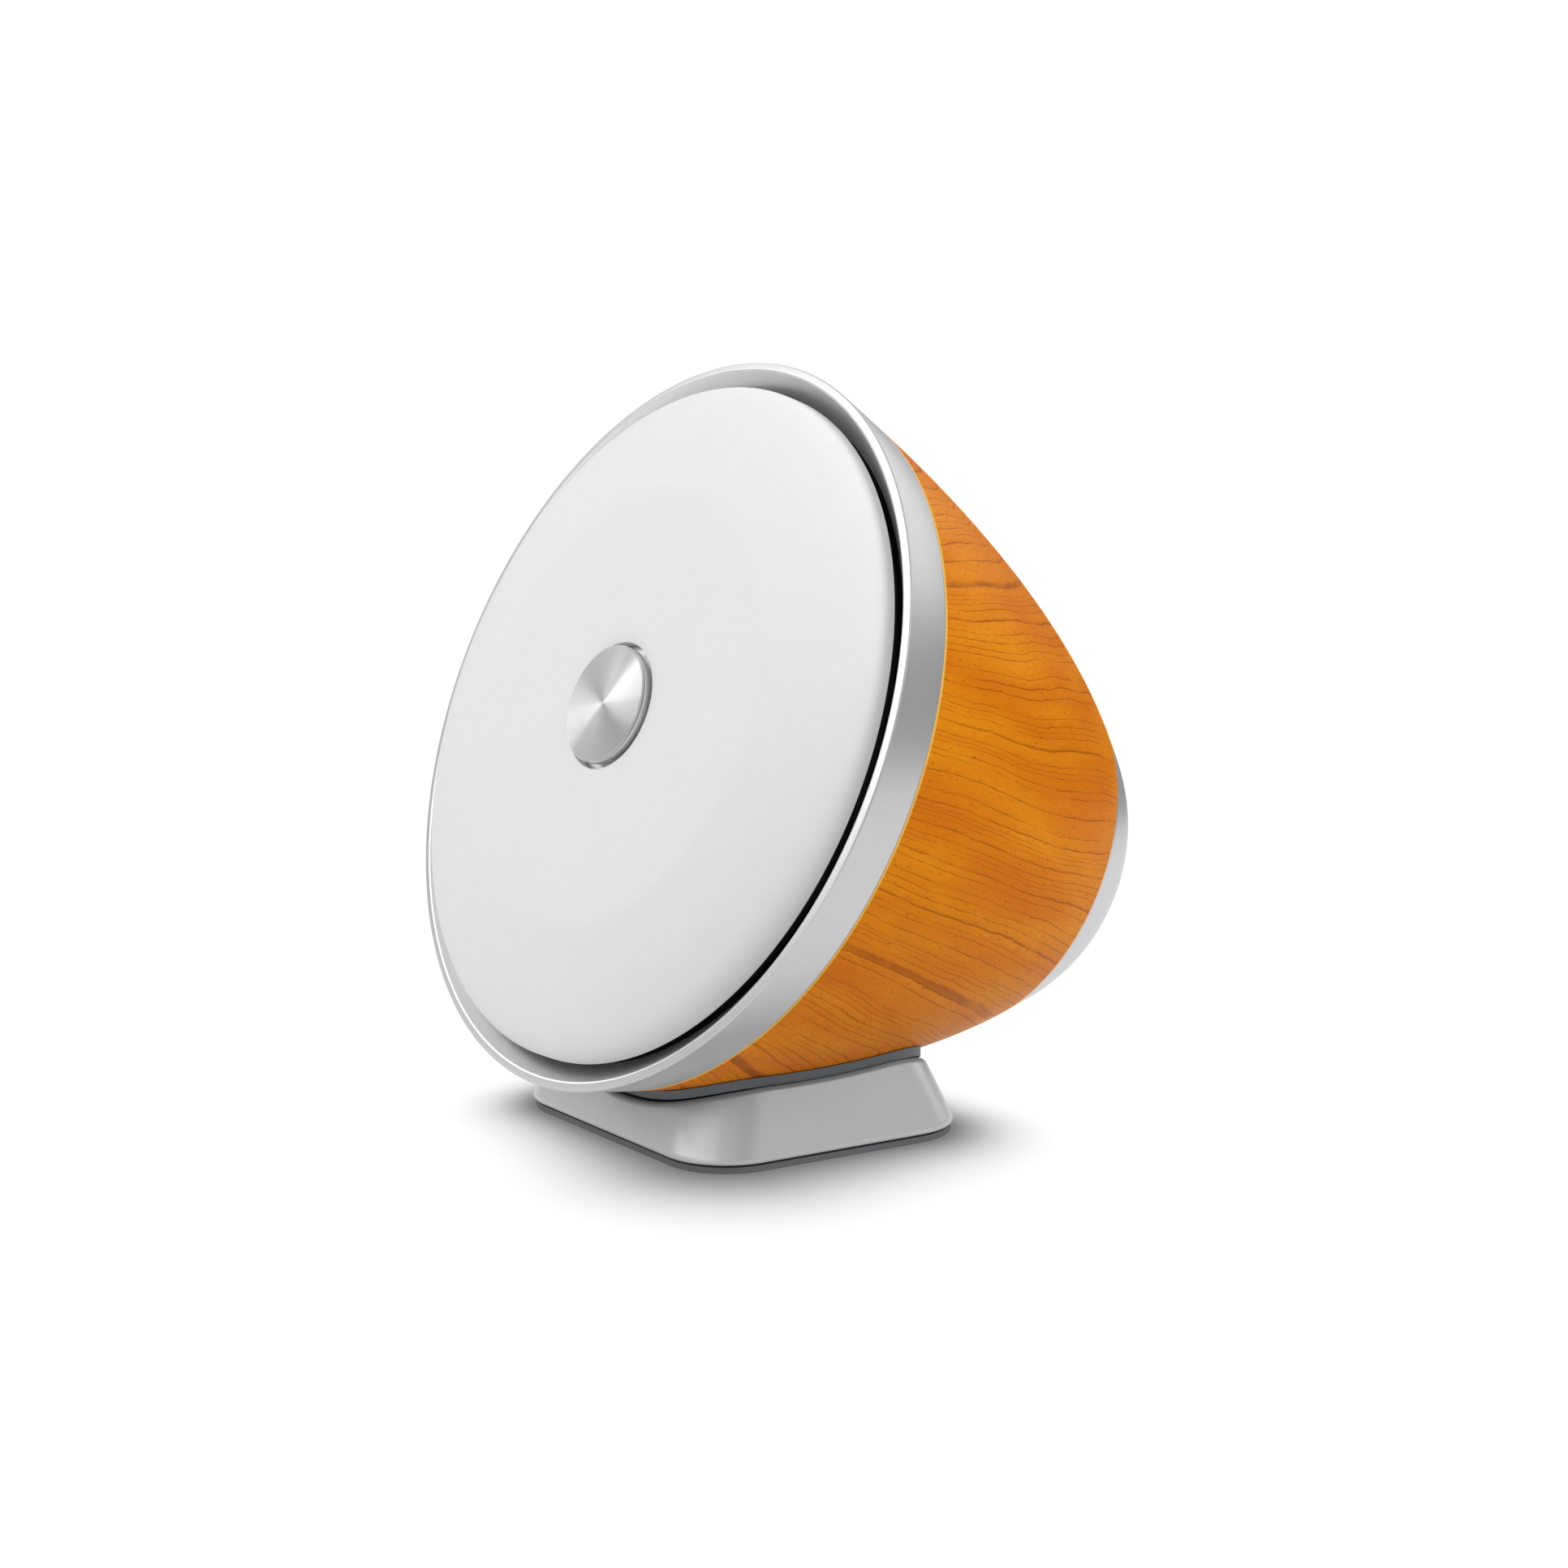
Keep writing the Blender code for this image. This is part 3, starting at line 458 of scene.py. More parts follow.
class Surface(Nodes):
    """A material that ends in its Principled shader."""

    def __init__(self, name):
        self.material = bpy.data.materials.new(name)
        self.material.use_nodes = True
        super().__init__(self.material.node_tree)
        self.shader = self.tree.nodes["Principled BSDF"]

    def set(self, **values):
        for key, value in values.items():
            self.shader.inputs[key.replace("_", " ")].default_value = value

    def colour(self, output):
        self.join(output, self.shader.inputs["Base Color"])

    def roughness(self, output):
        self.join(output, self.shader.inputs["Roughness"])

    def bump(self, height, depth_mm):
        """Surface relief whose full height is depth_mm."""
        node = self.add("ShaderNodeBump")
        node.inputs["Strength"].default_value = 1.0
        node.inputs["Distance"].default_value = depth_mm * MM
        self.join(height, node.inputs["Height"])
        self.join(node.outputs[0], self.shader.inputs["Normal"])


def speckled(name, colour, roughness, metallic, grain_mm, depth_mm, shade):
    """A moulded or painted surface with a fine random texture."""
    n = Surface(name)
    n.set(Metallic=metallic)
    place = n.place()
    fine = n.noise(place, 1 / grain_mm, 2.0)
    broad = n.noise(place, 1 / (grain_mm * 30), 2.0)
    darker = tuple(c * (1 - shade) for c in colour)
    lighter = tuple(min(c * (1 + shade), 1.0) for c in colour)
    blend = n.total(n.times(fine, 0.7), n.times(broad, 0.3))
    n.colour(n.mix(n.spread(blend, 0.35, 0.65, 0.0, 1.0), darker, lighter))
    n.roughness(n.spread(fine, 0.3, 0.7, roughness - 0.02, roughness + 0.02))
    n.bump(fine, depth_mm)
    return n


def silver_paint():
    """Satin silver, bright where the ring is cut back towards the face."""
    n = speckled("silver_paint", SILVER, 0.34, SILVER_METALLIC, 0.2, 0.0006, 0.02)
    painted = n.shader.inputs["Base Color"].links[0].from_socket
    x, y, z = n.split(n.place())
    inside = n.math("LESS_THAN", n.length(x, y), (COVE_OUTER + CUT_MARGIN) / MM)
    ahead = n.math("GREATER_THAN", z, (COVE_DEPTH - CUT_MARGIN) / MM)
    cut_back = n.times(inside, ahead)
    n.colour(n.mix(cut_back, painted, CUT_SILVER))
    n.join(n.spread(cut_back, 0.0, 1.0, SILVER_METALLIC, CUT_METALLIC), n.shader.inputs["Metallic"])
    return n.material


def face_white():
    n = speckled("white_face", (0.805, 0.805, 0.805), 0.6, 0.0, 0.22, 0.006, 0.015)
    n.set(Specular_IOR_Level=0.12)
    return n.material


def black_plastic():
    return speckled("black_plastic", (0.012, 0.012, 0.013), 0.55, 0.0, 0.3, 0.01, 0.2).material


def grey_plastic():
    return speckled("grey_plastic", (0.125, 0.13, 0.14), 0.5, 0.0, 0.25, 0.01, 0.08).material


def rubber():
    return speckled("rubber", (0.13, 0.13, 0.135), 0.75, 0.0, 0.2, 0.02, 0.12).material


def frosted_plastic():
    n = speckled("frosted_plastic", (0.82, 0.85, 0.87), 0.5, 0.0, 0.3, 0.005, 0.02)
    n.set(Subsurface_Weight=0.3)
    return n.material


def plain_steel():
    """Plated sheet steel with a faint rolling grain along X."""
    n = Surface("steel")
    n.set(Metallic=1.0)
    x, y, z = n.split(n.place())
    drawn = n.noise(n.combine(n.times(x, 0.08), y, z), 4.0)
    n.colour(n.mix(drawn, (0.46, 0.47, 0.48), (0.60, 0.61, 0.62)))
    n.roughness(n.spread(drawn, 0.3, 0.7, 0.28, 0.42))
    n.bump(drawn, 0.01)
    return n.material


def circuit_board():
    """Green solder mask over right-angled copper tracks and round pads."""
    n = Surface("circuit_board")
    place = n.place()
    tracks = n.add("ShaderNodeTexBrick", offset=0.37, squash=0.6)
    tracks.inputs["Scale"].default_value = 0.28
    tracks.inputs["Mortar Size"].default_value = 0.03
    n.join(place, tracks.inputs["Vector"])
    pads = n.add("ShaderNodeTexVoronoi")
    pads.inputs["Scale"].default_value = 0.35
    n.join(place, pads.inputs["Vector"])
    pad = n.math("LESS_THAN", pads.outputs["Distance"], 0.16)
    mask = n.mix(tracks.outputs["Fac"], (0.012, 0.11, 0.045), (0.03, 0.19, 0.08))
    n.colour(n.mix(pad, mask, (0.62, 0.44, 0.16)))
    n.roughness(n.spread(n.noise(place, 1.5), 0.3, 0.7, 0.28, 0.4))
    n.bump(tracks.outputs["Fac"], 0.03)
    return n.material


def spun_aluminium():
    """Turned metal: fine circles about the button's axis spread the highlights into a fan."""
    n = Surface("spun_aluminium")
    n.set(Metallic=1.0, Anisotropic=1.0)
    x, y, z = n.split(n.place())
    radius = n.length(x, y)
    turning = n.noise(n.combine(n.times(radius, 9.0), 0.0, 0.0), 1.0, 2.0)
    n.colour(n.mix(turning, (0.56, 0.56, 0.565), (0.66, 0.66, 0.665)))
    n.roughness(n.spread(turning, 0.3, 0.7, 0.38, 0.44))

    # The spokes from the button's centre stand in for the tangent
    spoke = n.add("ShaderNodeVectorMath", operation="SUBTRACT")
    spoke.inputs[1].default_value = RING_CENTRE + FORWARD * BUTTON_TOP
    n.join(n.object_point(), spoke.inputs[0])
    n.join(spoke.outputs[0], n.shader.inputs["Tangent"])
    dish = n.times(n.times(radius, radius), -1 / BUTTON_DISH_FALL)
    n.bump(n.total(dish, n.times(turning, 0.004)), 1.0)
    return n.material


def wood_veneer():
    """Lacquered softwood with its grain along the body, its growth rings level, and a painted highlight along its
    front edge.
    """
    n = Surface("wood_veneer")
    place = n.place()
    x, y, z = n.split(place)

    # Growth layers spread a little towards the rear
    fanning = n.math("POWER", math.e, n.times(z, LAYER_SPREAD))
    layer = n.times(n.total(y, LAYER_SHIFT), fanning)
    stretched = n.combine(x, y, n.times(z, 0.35))
    layer = n.total(layer, n.wander(n.noise(stretched, 0.05, 1.0), SWAY))
    layer = n.total(layer, n.wander(n.noise(stretched, 0.22, 1.0), RIPPLE))
    layer = n.total(layer, n.wander(n.noise(place, 0.9, 2.0), JITTER))

    # One thin dark line a year, years of uneven width, lines of uneven strength
    uneven = n.noise(n.combine(n.times(layer, 0.16), 0.0, 0.0), 1.0, 2.0)
    count = n.total(n.times(layer, YEARS_PER_MM), n.wander(uneven, YEAR_DRIFT))
    share = n.math("FRACT", count)
    year = n.math("FLOOR", count)
    from_line = n.math("MINIMUM", n.times(n.rest(share), LINE_SLOPE), share)
    line = n.spread(from_line, 0.0, LINE_WIDTH, 1.0, 0.0)
    broken = n.noise(n.combine(n.times(z, 0.12), year, n.times(x, 0.04)), 1.0)
    line = n.times(line, n.spread(broken, 0.33, 0.55, 0.15, 1.0))
    late = n.times(n.rest(share), n.rest(share))
    late = n.times(late, n.spread(broken, 0.4, 0.7, 0.0, 0.4))

    # Fibres, pores and broad streaks along the grain
    fibre = n.noise(n.combine(x, n.times(layer, 4.5), n.times(z, 0.35)), 1.0)
    pore_place = n.combine(x, n.times(layer, 3.2), n.times(z, 0.55))
    pore = n.spread(n.noise(pore_place, 1.4, 1.0), 0.66, 0.74, 0.0, 1.0)
    streak_place = n.combine(n.times(x, 0.05), n.times(layer, 0.17), n.times(z, 0.02))
    streak = n.spread(n.noise(streak_place, 1.0, 2.0), 0.35, 0.65, 0.0, 1.0)

    wood = n.mix(streak, WOOD_PALE, WOOD_DEEP)
    wood = n.mix(n.times(n.spread(fibre, 0.4, 0.7, 0.0, 1.0), 0.25), wood, WOOD_FIBRE)
    wood = n.mix(late, wood, WOOD_LATE)
    wood = n.mix(n.times(pore, 0.55), wood, WOOD_PORE)
    wood = n.mix(n.times(line, 0.8), wood, WOOD_LINE)
    # Painted highlight: a lighter band along the front edge, next to the ring, in place of the light that edge
    # catches
    front_edge = n.spread(z, *FRONT_EDGE_HIGHLIGHT, 0.0, 1.0)
    n.colour(n.mix(n.times(front_edge, 0.8), wood, WOOD_EDGE_HIGHLIGHT))
    n.roughness(n.spread(fibre, 0.3, 0.7, 0.36, 0.46))
    n.set(Specular_IOR_Level=0.03)
    n.bump(n.math("SUBTRACT", n.times(fibre, 0.3), n.times(line, 0.5)), 0.02)
    return n.material


# Pieces of the body


def make_bezel_ring(material):
    """The ring with its thin lip, the cove inside it, and the tenon and flange behind."""
    edge = 0.2 * MM
    corners = [
        (COVE_OUTER + 0.25 * MM, LIP_HEIGHT + 0.06 * MM, 0.10 * MM),
        (RING_RADIUS - 0.08 * MM, 0.11 * MM, 0.08 * MM),
        (RING_RADIUS, -0.15 * MM, 0.08 * MM),
        (WOOD_FRONT_RADIUS, -RING_DEPTH, 0.12 * MM),
        (TENON_OUTER, -RING_DEPTH, 0),
        (TENON_OUTER, RING_FLANGE_REAR, edge),
        (RING_FLANGE_INNER, RING_FLANGE_REAR, edge),
        (RING_FLANGE_INNER, RING_FLANGE_FRONT, edge),
        (TENON_INNER, RING_FLANGE_FRONT, 0),
        (TENON_INNER, POCKET_FLOOR, 0),
        (COVE_INNER, POCKET_FLOOR, 0),
    ]
    handle_a = (46.6 * MM, -2.0 * MM)
    handle_b = (47.9 * MM, -0.75 * MM)
    cove = bezier((COVE_INNER, COVE_DEPTH), handle_a, handle_b, (COVE_OUTER, LIP_HEIGHT), 20)
    corners += [(*point, 0) for point in cove]
    ring = lathe("bezel_ring_fine", rounded(corners, 4))
    stand_in(ring, "bezel_ring", "housing", material)


def make_wood_shell(material):
    """The wooden cone with eased edges; its colour isn't thrown on its neighbours."""
    edge = 0.25 * MM
    front = -RING_DEPTH - SEAM
    rear = WOOD_REAR + SEAM
    clear = edge * 1.5
    outer = [(r, h) for r, h in wood_curve(40) if WOOD_REAR + clear < h < -RING_DEPTH - clear]
    front_edge = bezier(
        (WOOD_FRONT_RADIUS - edge, front),
        (WOOD_FRONT_RADIUS - edge * 0.3, front),
        (outline_radius(front - edge), front - edge * 0.5),
        (outline_radius(front - edge), front - edge),
        4,
    )
    rear_edge = bezier(
        (outline_radius(rear + edge), rear + edge),
        (outline_radius(rear + edge * 0.4), rear + edge * 0.4),
        (WOOD_REAR_RADIUS - edge * 0.3, rear),
        (WOOD_REAR_RADIUS - edge, rear),
        4,
    )
    inner = [(r - WOOD_WALL, min(max(h, rear), front)) for r, h in reversed(wood_curve(16))]
    shell = lathe("wood_shell_fine", front_edge + outer + rear_edge + inner)
    for y in POST_PLACES:
        cut(shell, post(POST_RADIUS + POST_CLEARANCE, y, 2 * MM, 20 * MM))
    shell.visible_diffuse = False
    shell.visible_glossy = False
    stand_in(shell, "wood_shell", "housing", material)


def make_rear_cap(material):
    """The cap with its tenon in the wood and a rounded lip round the opening."""
    outer = cap_curve(24)
    tenon = WOOD_REAR_RADIUS - WOOD_WALL - 0.3 * MM
    tenon_inner = tenon - CAP_TENON_WALL
    front = WOOD_REAR + CAP_TENON_LENGTH
    lip = rounded(
        [(*outer[-2], 0), (CAP_OPENING, CAP_REAR, 0.3 * MM), (CAP_OPENING, CAP_REAR + 1.2 * MM, 0.2 * MM)]
    )
    profile = [(tenon, front), (tenon, WOOD_REAR), (WOOD_REAR_RADIUS - SEAM, WOOD_REAR)]
    profile += outer[1:-1] + lip[1:] + list(CAP_INNER)
    profile += [(tenon_inner, WOOD_REAR), (tenon_inner, front)]
    cap = lathe("rear_cap_fine", profile)
    stand_in(cap, "rear_cap", "housing", material)


def face_curve(offset, steps):
    """(radius, height) down the face: a flatter lit zone, the crown, then the soft edge."""
    zone = (FACE_ZONE_RADIUS, FACE_ZONE_HEIGHT - offset)
    centre = (BUTTON_HOLE, FACE_CENTRE_HEIGHT - offset)
    crown = (42.0 * MM - offset * 0.45, 4.6 * MM - offset * 0.9)
    rim = (FACE_RADIUS - offset, FACE_RIM_FRONT - offset * 0.3)
    points = bezier(centre, (18.0 * MM, centre[1]), (25.0 * MM, centre[1] - 0.15 * MM), zone, steps)
    handle_a = (34.0 * MM, zone[1] - 0.9 * MM)
    handle_b = (38.6 * MM, crown[1] + 1.7 * MM)
    points += bezier(zone, handle_a, handle_b, crown, steps)[1:]
    handle_a = (crown[0] + 2.2 * MM, crown[1] - 0.9 * MM)
    handle_b = (rim[0] + 0.02 * MM, rim[1] + 1.4 * MM)
    return points + bezier(crown, handle_a, handle_b, rim, steps)[1:]


def make_face_panel(material):
    """The domed face, eased round the button's hole and at its rear rim."""
    outer = face_curve(0, 16)
    edge = 0.15 * MM
    hole = [
        (BUTTON_HOLE, FACE_CENTRE_HEIGHT - edge),
        (BUTTON_HOLE + edge * 0.3, FACE_CENTRE_HEIGHT - edge * 0.3),
    ]
    outer[0] = (BUTTON_HOLE + edge, FACE_CENTRE_HEIGHT)
    rim = rounded(
        [
            (*outer[-1], 0),
            (FACE_RADIUS, FACE_RIM_REAR, 0.2 * MM),
            (FACE_RADIUS - FACE_WALL, FACE_RIM_REAR, 0.2 * MM),
        ]
    )
    inner = list(reversed(face_curve(FACE_WALL, 8)))
    panel = lathe("face_panel_fine", hole + outer + rim[1:] + inner)
    stand_in(panel, "face_panel", "housing", material)


def make_button_cap(material):
    """A shallow turned cap, dished a little by its material."""
    crown = rounded(
        [
            (0, BUTTON_TOP + 0.14 * MM, 0),
            (BUTTON_RADIUS / 2, BUTTON_TOP + 0.08 * MM, 2 * MM),
            (BUTTON_RADIUS - 0.22 * MM, BUTTON_TOP - 0.12 * MM, 0.02 * MM),
            (BUTTON_RADIUS, BUTTON_TOP - 0.26 * MM, 0.04 * MM),
            (BUTTON_RADIUS, CAP_UNDERSIDE, 0.04 * MM),
            (0, CAP_UNDERSIDE, 0),
        ]
    )
    cap = lathe("button_cap_fine", crown, smooth_angle=20)
    stand_in(cap, "button_cap", "button", material)


def make_button_collar(material):
    """The collar round the cap, undercut where it dips into the face, on a hidden flange."""
    side = BUTTON_RADIUS - 0.02 * MM
    side_bottom = FACE_CENTRE_HEIGHT - 0.15 * MM
    undercut = BUTTON_RADIUS - 0.5 * MM
    profile = rounded(
        [
            (COLLAR_BORE, COLLAR_TOP, 0),
            (side - 0.3 * MM, COLLAR_TOP, 0),
            (side, COLLAR_TOP - 0.02 * MM, 0.06 * MM),
            (side, side_bottom, 0.04 * MM),
            (undercut, side_bottom - 0.05 * MM, 0),
            (undercut, FLANGE_TOP, 0),
            (FLANGE_RADIUS, FLANGE_TOP, 0.1 * MM),
            (FLANGE_RADIUS, FLANGE_BOTTOM, 0.1 * MM),
            (COLLAR_BORE, FLANGE_BOTTOM, 0),
        ]
    )
    collar = lathe("button_collar_fine", profile)
    stand_in(collar, "button_collar", "button", material)


def block(name, low, high):
    """A box between two corners in the body frame."""
    builder = bmesh.new()
    bmesh.ops.create_cube(builder, size=1.0)
    middle = (Vector(low) + Vector(high)) / 2
    size = Vector(high) - Vector(low)
    builder.transform(BODY_FRAME @ Matrix.Translation(middle) @ Matrix.Diagonal((*size, 1)))
    return finish_mesh(name, builder)


def make_rear_screws(material):
    """Pan-head screws with a cross recess."""
    outside = GRILLE_REAR - SCREW_HEAD_HEIGHT
    inside = GRILLE_REAR - 0.2 * MM
    profile = rounded(
        [
            (0, outside, 0),
            (SCREW_HEAD_RADIUS, outside, 0.45 * MM),
            (SCREW_HEAD_RADIUS, inside, 0.05 * MM),
            (SCREW_SHANK_RADIUS, inside, 0),
            (SCREW_SHANK_RADIUS, SCREW_TIP, 0),
            (0, SCREW_TIP, 0),
        ]
    )
    arms = ((RECESS_HALF_LENGTH, RECESS_HALF_WIDTH), (RECESS_HALF_WIDTH, RECESS_HALF_LENGTH))
    for number, x in ((1, -REAR_SCREW_OFFSET), (2, REAR_SCREW_OFFSET)):
        screw = lathe(f"rear_screw_{number}_fine", profile, (x, 0), 48)
        for half_x, half_y in arms:
            low = (x - half_x, -half_y, outside - MM)
            high = (x + half_x, half_y, outside + RECESS_DEPTH)
            cut(screw, block("recess", low, high))
        stand_in(screw, f"rear_screw_{number}", "housing", material)


def make_socket_tongue(material):
    """The contact carrier in the mouth of the power socket."""
    tip, root = (GRILLE_REAR + reach for reach in TONGUE_REACH)
    low = (-TONGUE_HALF_WIDTH, -SOCKET_DROP - TONGUE_HALF_THICKNESS, tip)
    high = (TONGUE_HALF_WIDTH, -SOCKET_DROP + TONGUE_HALF_THICKNESS, root)
    tongue = block("socket_tongue", low, high)
    tongue.data.materials.append(material)
    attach(tongue, "housing")


# Pieces of the stand


def rounded_outline(inset, corner_steps=14, side_steps=14):
    """Points round the stand's plan, anticlockwise."""
    half_width = BASE_HALF_WIDTH - inset
    half_depth = BASE_HALF_DEPTH - inset
    corner = BASE_CORNER - inset
    arcs = []
    for k, (sx, sy) in enumerate(((1, -1), (1, 1), (-1, 1), (-1, -1))):
        centre = Vector((sx * (half_width - corner), sy * (half_depth - corner)))
        turns = [math.pi / 2 * (k - 1 + i / corner_steps) for i in range(corner_steps + 1)]
        arcs.append([centre + corner * Vector((math.cos(t), math.sin(t))) for t in turns])
    points = []
    for k, arc in enumerate(arcs):
        following = arcs[(k + 1) % 4][0]
        points += arc
        points += [arc[-1].lerp(following, i / side_steps) for i in range(1, side_steps)]
    return points


def flat_ring(inset, height):
    return [Vector((p.x, p.y, height)) for p in rounded_outline(inset)]


def pole(height):
    """The single point that closes a stack of rings."""
    return [Vector((0, 0, height))]


def saddle_edge(inset, grow, start):
    """Where a leaning side wall meets the grown body, for each point of the plan."""
    edge = []
    for point in rounded_outline(inset):
        height = start
        for _ in range(5):
            inward = BASE_LEAN * (height - start)
            x = point.x - math.copysign(min(inward, abs(point.x)), point.x)
            y = point.y - math.copysign(min(inward, abs(point.y)), point.y)
            height = underside(x, y, grow)
        edge.append(Vector((x, y, height)))
    return edge


def saddle_ring(edge, scale, grow):
    """An edge shrunk towards the middle and laid back on the grown body."""
    ring = []
    for point in edge:
        x = point.x * scale
        y = point.y * scale
        ring.append(Vector((x, y, underside(x, y, grow))))
    return ring


def make_foot_pad(material):
    """A flat pad with its lower edge rounded over."""
    round_over = 0.22 * MM
    levels = [pole(PAD_TOP)]
    levels += [flat_ring(PAD_INSET + margin, PAD_TOP) for margin in (3 * MM, 0.05 * MM)]
    for i in range(5):
        angle = math.pi / 2 * i / 4
        inset = PAD_INSET + round_over * (1 - math.cos(angle))
        levels.append(flat_ring(inset, round_over * (1 - math.sin(angle))))
    levels += [flat_ring(PAD_INSET + 4 * MM, 0), pole(0)]
    stand_in(stack("foot_pad_fine", levels), "foot_pad", "housing", material)


def make_base_shell(material):
    """The base: a cradle that follows the body, a rounded rim, leaning sides, a pocket below."""
    edge = saddle_edge(0, CRADLE_DROP, BASE_BOTTOM)
    bottom = rounded_outline(0)
    levels = [pole(underside(0, 0, CRADLE_DROP))]
    for scale in (0.15, 0.3, 0.45, 0.6, 0.72, 0.84, 0.92, 0.965):
        levels.append(saddle_ring(edge, scale, CRADLE_DROP))
    for i in range(6):
        angle = math.pi / 2 * i / 5
        inward_share = BASE_RIM_ROUND * (1 - math.sin(angle))
        down_share = BASE_RIM_ROUND * (1 - math.cos(angle))
        ring = []
        for top, low in zip(edge, bottom):
            inward = Vector((-top.x, -top.y, 0)).normalized()
            down = (Vector((low.x, low.y, BASE_BOTTOM)) - top).normalized()
            ring.append(top + inward * inward_share + down * down_share)
        levels.append(ring)
    for share in (0.25, 0.5, 0.75, 0.92):
        level = []
        for top, low in zip(edge, bottom):
            foot = Vector((low.x, low.y, BASE_BOTTOM + 0.4 * MM))
            level.append((top + (foot - top).normalized() * BASE_RIM_ROUND).lerp(foot, share))
        levels.append(level)
    levels += [flat_ring(0, BASE_BOTTOM + 0.35 * MM), flat_ring(0.06 * MM, BASE_BOTTOM + 0.12 * MM)]
    levels += [flat_ring(0.3 * MM, BASE_BOTTOM), flat_ring(BASE_WALL, BASE_BOTTOM)]
    levels += [flat_ring(BASE_WALL + 0.2 * MM, POCKET_TOP), pole(POCKET_TOP)]
    shell = stack("base_shell_fine", levels)
    for y in POST_PLACES:
        cut(shell, post(SCREW_BORE, y, 2 * MM, 8 * MM))
    stand_in(shell, "base_shell", "housing", material)


def make_neck_saddle(material):
    """The band between the base's cradle and the body, with its two posts."""
    under_gap = CRADLE_DROP - NECK_GAP
    inset = BASE_LEAN * (underside(0, 0, CRADLE_DROP) - BASE_BOTTOM) + NECK_INSET
    low = saddle_edge(inset, under_gap, underside(0, 0, under_gap))
    high = saddle_ring(low, 1.0, NECK_TOP_GAP)
    scales = (0.96, 0.8, 0.6, 0.4, 0.2)
    levels = [pole(underside(0, 0, NECK_TOP_GAP))]
    levels += [saddle_ring(high, scale, NECK_TOP_GAP) for scale in reversed(scales)]
    levels.append(high)
    for share in (0.15, 0.5, 0.85):
        levels.append([a.lerp(b, share) for a, b in zip(high, low)])
    levels.append(low)
    levels += [saddle_ring(low, scale, under_gap) for scale in scales]
    levels.append(pole(underside(0, 0, under_gap)))
    neck = stack("neck_saddle_fine", levels)
    for y in POST_PLACES:
        top = underside(0, y, -WOOD_WALL + 0.3 * MM)
        cut(neck, post(POST_RADIUS, y, underside(0, y, CRADLE_DROP / 2), top), "UNION")
        cut(neck, post(SCREW_BORE, y, 2 * MM, 14 * MM))
    stand_in(neck, "neck_saddle", "housing", material)


# Studio


def make_camera():
    """A long lens, turned and raised about the object's origin, then shifted to frame it."""
    right = Vector((math.cos(CAMERA_AZIMUTH), math.sin(CAMERA_AZIMUTH), 0))
    flat = math.cos(CAMERA_ELEVATION)
    back = Vector((right.y * flat, -right.x * flat, math.sin(CAMERA_ELEVATION)))
    up = back.cross(right)
    data = bpy.data.cameras.new("camera")
    data.lens = CAMERA_LENS
    data.sensor_width = SENSOR_WIDTH
    data.clip_start = 0.05
    data.clip_end = 50.0
    camera = bpy.data.objects.new("camera", data)
    turn = Matrix((right, up, back)).transposed()
    place = right * AIM_RIGHT + up * AIM_UP + back * CAMERA_DISTANCE
    camera.matrix_world = Matrix.Translation(place) @ turn.to_4x4()
    bpy.context.collection.objects.link(camera)
    bpy.context.scene.camera = camera


def glowing_white(name):
    """An even white that no lamp changes."""
    n = Surface(name)
    n.set(Base_Color=(0.0, 0.0, 0.0, 1.0), Specular_IOR_Level=0.0, Emission_Strength=WHITE_GLOW)
    n.set(Emission_Color=(1.0, 1.0, 1.0, 1.0))
    return n


def shade_round_foot(n):
    """Brightness of the table top: dark at the foot, white further out, narrower off the heading."""
    x, y, z = n.split(n.object_point())
    beyond = []
    for axis, half in ((x, BASE_HALF_WIDTH), (y, BASE_HALF_DEPTH)):
        past_corner = n.math("SUBTRACT", n.math("ABSOLUTE", axis), half - BASE_CORNER)
        beyond.append(n.math("MAXIMUM", past_corner, 0.0))
    away = n.math("SUBTRACT", n.length(*beyond), BASE_CORNER)
    along = n.total(n.times(x, SHADE_HEADING[0]), n.times(y, SHADE_HEADING[1]))
    turn = n.rest(n.math("DIVIDE", along, n.math("MAXIMUM", n.length(x, y), MM)))
    narrowing = n.total(1.0, n.times(turn, SHADE_NARROWING))
    away = n.times(n.math("MAXIMUM", away, 0.0), narrowing)
    first, second = (n.math("DIVIDE", away, reach) for reach in SHADE_REACHES)
    fall = n.total(n.total(SHADE_START, first), n.times(second, second))
    return n.rest(n.math("POWER", math.e, n.times(fall, -1.0)))


def make_floor():
    """A white table top with a soft shade round the foot."""
    builder = bmesh.new()
    bmesh.ops.create_circle(builder, cap_ends=True, segments=64, radius=FLOOR_RADIUS)
    floor = finish_mesh("floor", builder)
    n = glowing_white("floor_white")
    level = shade_round_foot(n)
    n.join(n.combine(level, level, level), n.shader.inputs["Emission Color"])
    floor.data.materials.append(n.material)
    floor.visible_diffuse = False


def make_surround():
    """A white sphere behind everything, which lights nothing and isn't reflected."""
    builder = bmesh.new()
    bmesh.ops.create_icosphere(builder, subdivisions=4, radius=SURROUND_RADIUS)
    surround = finish_mesh("surround", builder)
    surround.data.materials.append(glowing_white("surround_white").material)
    surround.visible_diffuse = False
    surround.visible_glossy = False
    surround.visible_shadow = False


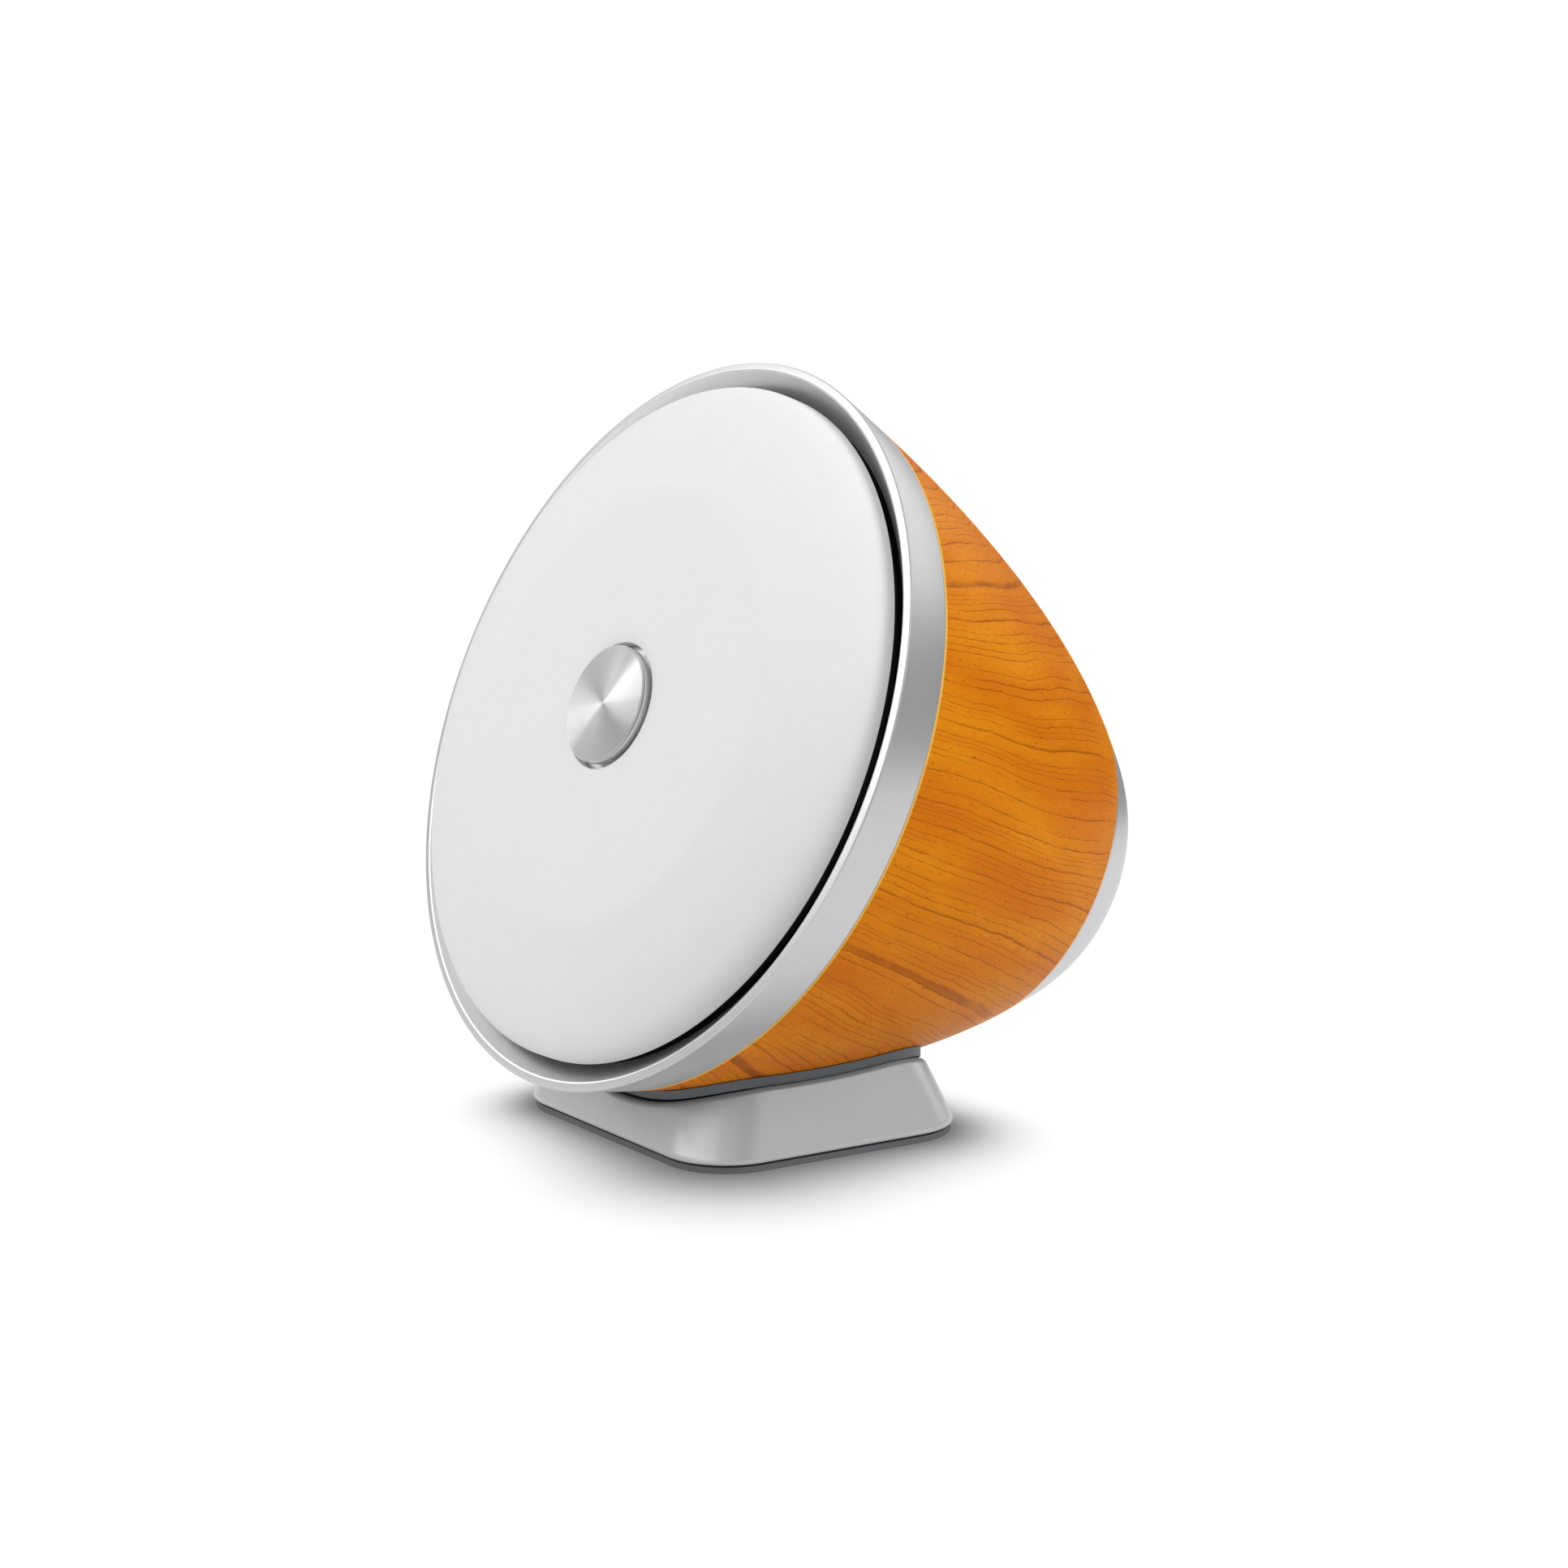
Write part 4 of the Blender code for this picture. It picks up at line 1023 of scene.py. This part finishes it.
def make_world():
    """A pale room with a dark band low behind the object and a dark card at its side."""
    world = bpy.data.worlds.new("studio")
    world.use_nodes = True
    n = Nodes(world.node_tree)
    x, y, z = n.split(n.add("ShaderNodeTexCoord").outputs["Generated"])

    ramp = n.add("ShaderNodeValToRGB")
    n.join(n.spread(z, -1.0, 1.0, 0.0, 1.0), ramp.inputs[0])
    stops = ramp.color_ramp.elements
    while len(stops) < len(REAR_LEVELS):
        stops.new(0.5)
    for stop, (height, level) in zip(stops, REAR_LEVELS):
        stop.position = (height + 1) / 2
        stop.color = (level, level, level, 1)

    table = n.spread(z, -0.35, -0.15, 0.42, 0.0)
    around = n.total(n.spread(z, -0.2, 0.25, 0.36, 0.56), table)
    to_rear = n.spread(y, 0.45, 0.85, 0.0, 1.0)
    room = n.mix(to_rear, n.combine(around, around, around), ramp.outputs[0])
    card = n.total(n.times(x, DARK_CARD.x), n.times(z, DARK_CARD.z))
    room = n.mix(n.spread(card, 0.93, 0.99, 0.0, 0.7), room, (0.12, 0.12, 0.12))
    n.join(room, n.tree.nodes["Background"].inputs["Color"])
    bpy.context.scene.world = world


def area_light(name, place, size, power, roll=0.0, seen=""):
    """A soft box that faces the object; seen limits it to diffuse or glossy light."""
    data = bpy.data.lights.new(name, "AREA")
    data.shape = "RECTANGLE"
    data.size, data.size_y = size
    data.energy = power
    light = bpy.data.objects.new(name, data)
    light.location = place
    facing = (LIGHT_TARGET - Vector(place)).to_track_quat("-Z", "Y")
    light.rotation_mode = "QUATERNION"
    light.rotation_quaternion = facing @ Quaternion((0, 0, 1), roll)
    light.visible_diffuse = seen != "glossy"
    light.visible_glossy = seen != "diffuse"
    bpy.context.collection.objects.link(light)


def make_lights():
    """Soft boxes: places and sizes in metres, powers in watts."""
    area_light("key", (-0.25, -0.55, 1.0), (0.4, 0.4), 3.2, seen="diffuse")
    area_light("sweep", (-0.40, -0.66, 0.86), (0.8, 0.4), 4.2, roll=math.radians(-34.5), seen="glossy")
    area_light("back", (-0.35, 1.1, 0.30), (1.0, 0.22), 0.8)
    area_light("side", (-0.82, -0.72, 0.60), (1.2, 0.5), 3.0)
    area_light("rear right", (0.9, 0.6, 0.9), (0.7, 0.7), 8.5, seen="diffuse")
    area_light("front right", (0.25, -1.0, 0.48), (1.0, 0.5), 1.3)


def dress_cad(materials):
    """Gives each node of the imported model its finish, and a small edge to those that show."""
    slots = {row["node"]: row["material_slot"] for row in frame["record"]["subparts"]}
    for name, node in frame["nodes"].items():
        node.data.materials.clear()
        node.data.materials.append(materials[slots[name]])
        if name in SHOWN_AS_PACKED:
            edge = node.modifiers.new("edge", "BEVEL")
            edge.width = SHOWN_EDGE
            edge.segments = 2
            edge.limit_method = "ANGLE"
            edge.angle_limit = math.radians(40)


def main():
    materials = {
        "silver_paint": silver_paint(),
        "spun_aluminium": spun_aluminium(),
        "wood_veneer": wood_veneer(),
        "white_face": face_white(),
        "black_plastic": black_plastic(),
        "grey_plastic": grey_plastic(),
        "frosted_plastic": frosted_plastic(),
        "circuit_board": circuit_board(),
        "steel": plain_steel(),
        "rubber": rubber(),
    }
    make_camera()
    dress_cad(materials)
    make_bezel_ring(materials["silver_paint"])
    make_wood_shell(materials["wood_veneer"])
    make_rear_cap(materials["silver_paint"])
    make_rear_screws(materials["steel"])
    make_socket_tongue(materials["black_plastic"])
    make_face_panel(materials["white_face"])
    make_button_cap(materials["spun_aluminium"])
    make_button_collar(materials["silver_paint"])
    make_foot_pad(materials["rubber"])
    make_base_shell(materials["silver_paint"])
    make_neck_saddle(materials["grey_plastic"])
    make_floor()
    make_surround()
    make_world()
    make_lights()
    bpy.context.scene.view_settings.view_transform = "Standard"


main()
